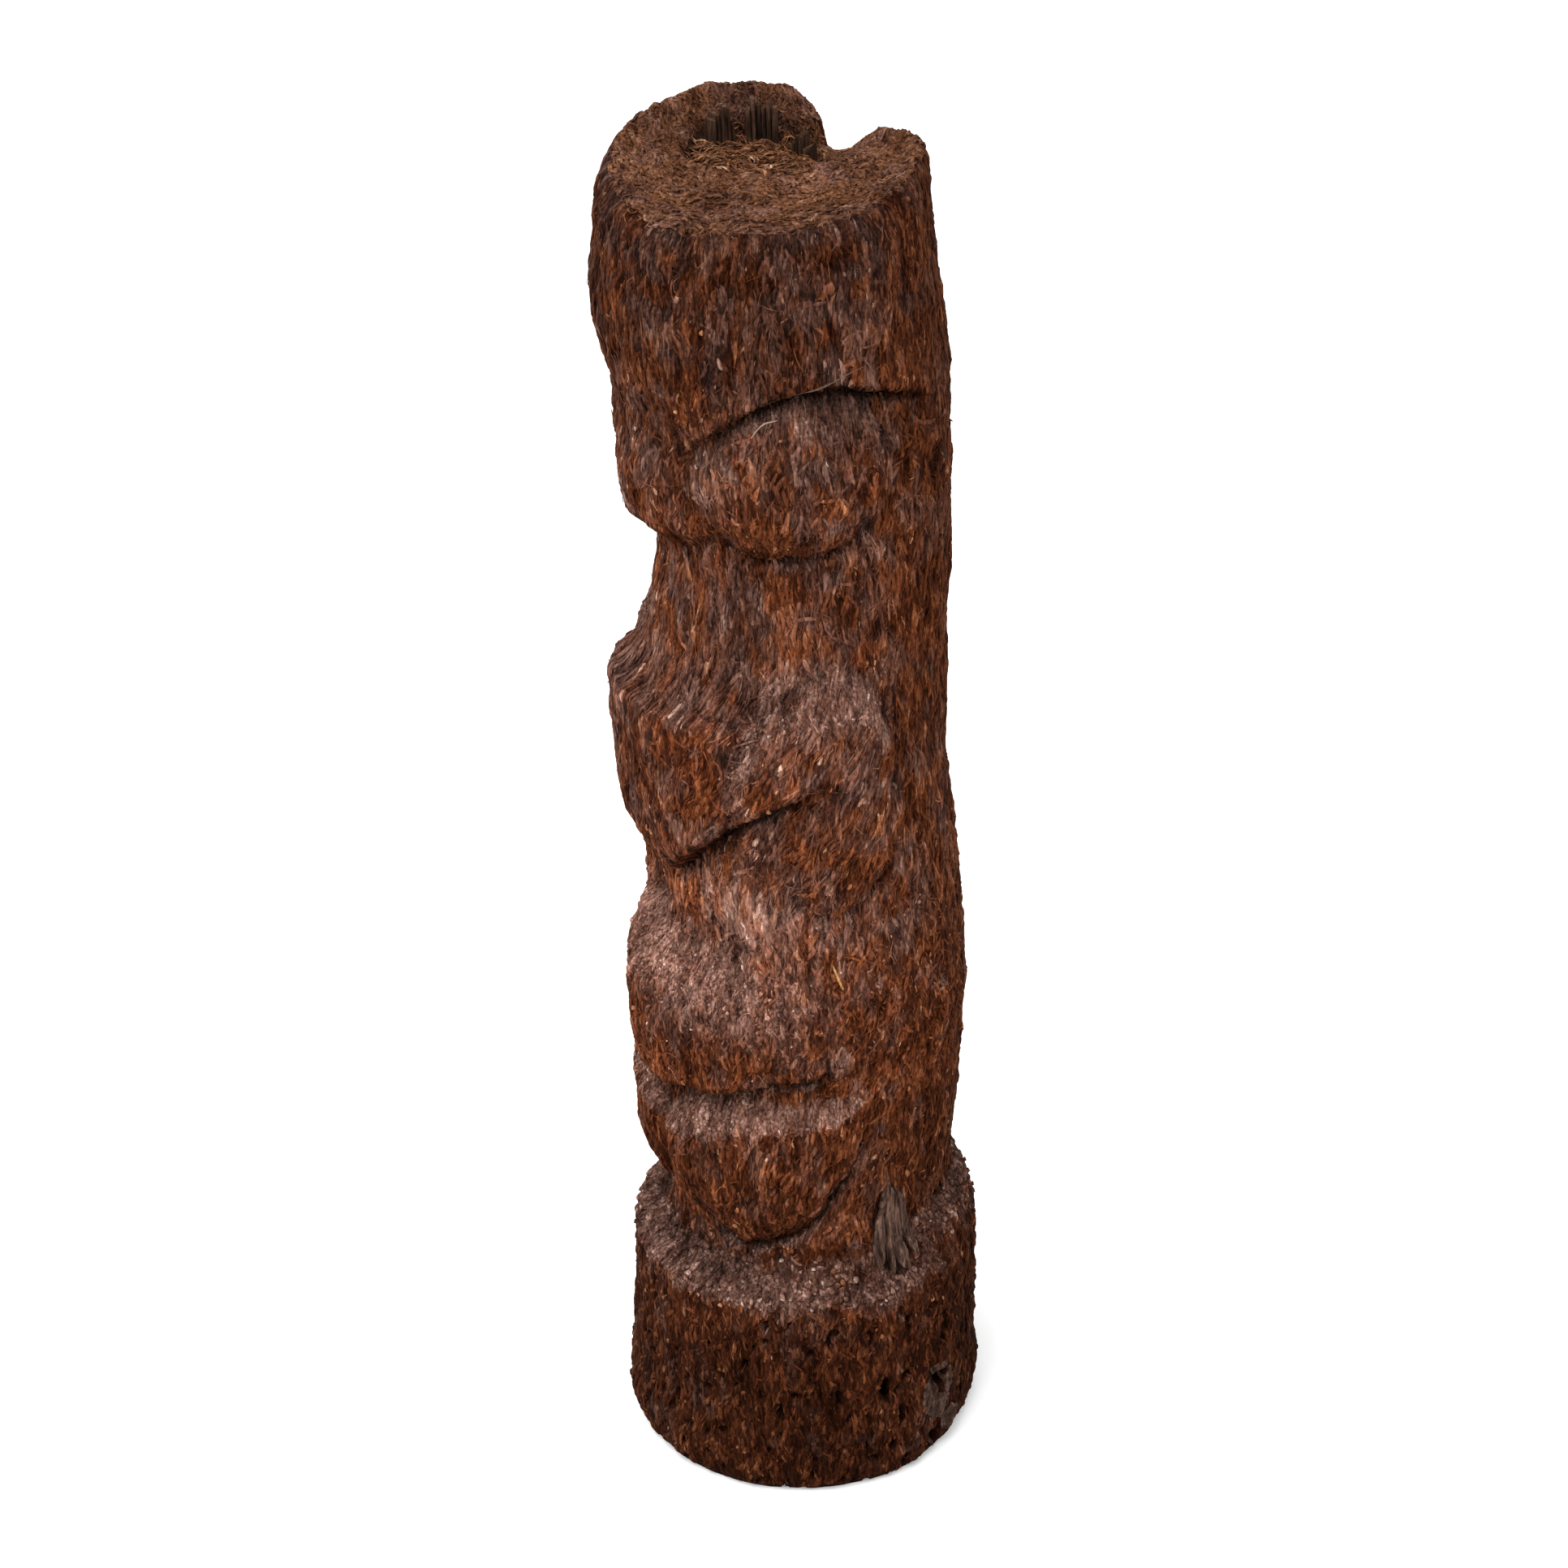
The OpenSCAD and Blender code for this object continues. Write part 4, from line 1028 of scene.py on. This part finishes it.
def loose_root(name, node, routes, material):
    """Thin curved roots, all in one piece. Each has a thickness, a shade and (angle, height, lift) bends."""
    rings = 20
    steps = np.linspace(0, 1, rings)
    paths, radii = [], []
    for thickness, _, route in routes:
        bends = np.array(route, float)
        t = np.linspace(0, 1, len(bends))
        smooth = [np.interp(steps, t, bends[:, c]) for c in range(3)]
        smooth = [np.convolve(np.pad(c, 2, "edge"), np.ones(5) / 5, "valid") for c in smooth]
        base = skin_r(smooth[0], smooth[1])
        base = np.convolve(np.pad(base, 3, "edge"), np.ones(7) / 7, "valid")
        paths.append(place(smooth[0], base + smooth[2], smooth[1]))
        radii.append(thickness * (0.35 + 0.65 * np.sin(np.pi * (0.08 + 0.84 * steps))))
    paths, radii = np.array(paths), np.array(radii)
    p = np.radians(routes[0][2][0][0])
    up = np.tile([math.sin(p), -math.cos(p), 0.0], (len(paths), 1))
    verts, faces, uvs = tubes(paths, radii, up, sides=8, flat=0.9)
    looks = {"shade": np.repeat([shade for _, shade, _ in routes], rings * 8)}
    piece = add_mesh(name, verts, faces, uvs, looks, material)
    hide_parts(node)


loose_root("pale_hairs", "stray_root_brow", [
    (0.28, 0.9, [(53, 498.5, 1.2), (55, 502, 1.9), (57.5, 504.6, 2.2), (60, 505.6, 2.0), (62.5, 506, 1.1)]),
    (0.15, 0.35, [(72, 516.5, 1.0), (78, 520, 1.5), (85, 523, 1.6), (92, 524, 1.0)]),
    (0.13, 0.25, [(66, 514.5, 1.0), (74, 519, 1.4), (80, 521, 1.2)])], pale_mat)
loose_root("straw_hair", "stray_root_belly", [
    (0.55, 1.0, [(75.8, 260.5, 1.2), (76.8, 257, 1.9), (77.8, 253, 1.8), (79, 249.5, 1.1)])], straw_mat)

# ---------- floor, light and camera
floor_mesh = bpy.data.meshes.new("floor")
floor_mesh.from_pydata([(-30, -30, 0), (30, -30, 0), (30, 30, 0), (-30, 30, 0)], [], [(0, 1, 2, 3)])
floor = bpy.data.objects.new("floor", floor_mesh)
bpy.context.scene.collection.objects.link(floor)
floor_nodes = Nodes("pale_floor")
floor_nodes.shader.inputs["Emission Color"].default_value = (1, 1, 1, 1)
floor_nodes.shader.inputs["Emission Strength"].default_value = 0.10
floor_mesh.materials.append(floor_nodes.finish((0.95, 0.95, 0.95, 1), 0.9, 0.05))

world = bpy.data.worlds.new("studio")
bpy.context.scene.world = world
world.use_nodes = True
world.node_tree.nodes["Background"].inputs[0].default_value = (1, 1, 1, 1)
world.node_tree.nodes["Background"].inputs[1].default_value = 1.0


def aim(name, data, azimuth, elevation, distance, roll=0.0):
    """A light or camera at angles and a distance from the figure's middle, turned to face it."""
    thing = bpy.data.objects.new(name, data)
    a, e = math.radians(azimuth), math.radians(elevation)
    away = Vector((math.sin(a) * math.cos(e), -math.cos(a) * math.cos(e), math.sin(e)))
    thing.location = Vector((0, 0, 0.3)) + away * distance
    thing.rotation_mode = "QUATERNION"
    turn = Matrix.Rotation(math.radians(roll), 4, "Z").to_quaternion()
    thing.rotation_quaternion = (-away).to_track_quat("-Z", "Y") @ turn
    bpy.context.scene.collection.objects.link(thing)
    return thing


for name, azimuth, elevation, distance, size, power in (
        ("key", 15, 64, 2.2, 2.2, 66), ("fill", 120, 30, 2.6, 1.6, 10)):
    lamp = bpy.data.lights.new(name, "AREA")
    lamp.size = size
    lamp.energy = power
    aim(name, lamp, azimuth, elevation, distance)

camera_data = bpy.data.cameras.new("camera")
camera_data.sensor_width = 36
camera_data.lens = 114.5
camera_data.shift_x = -0.0038
camera_data.shift_y = 0.0097
camera_data.clip_end = 100
bpy.context.scene.camera = aim("camera", camera_data, 62.0, 32.8, 2.0, roll=-1.67)
bpy.context.scene.view_settings.view_transform = "Standard"
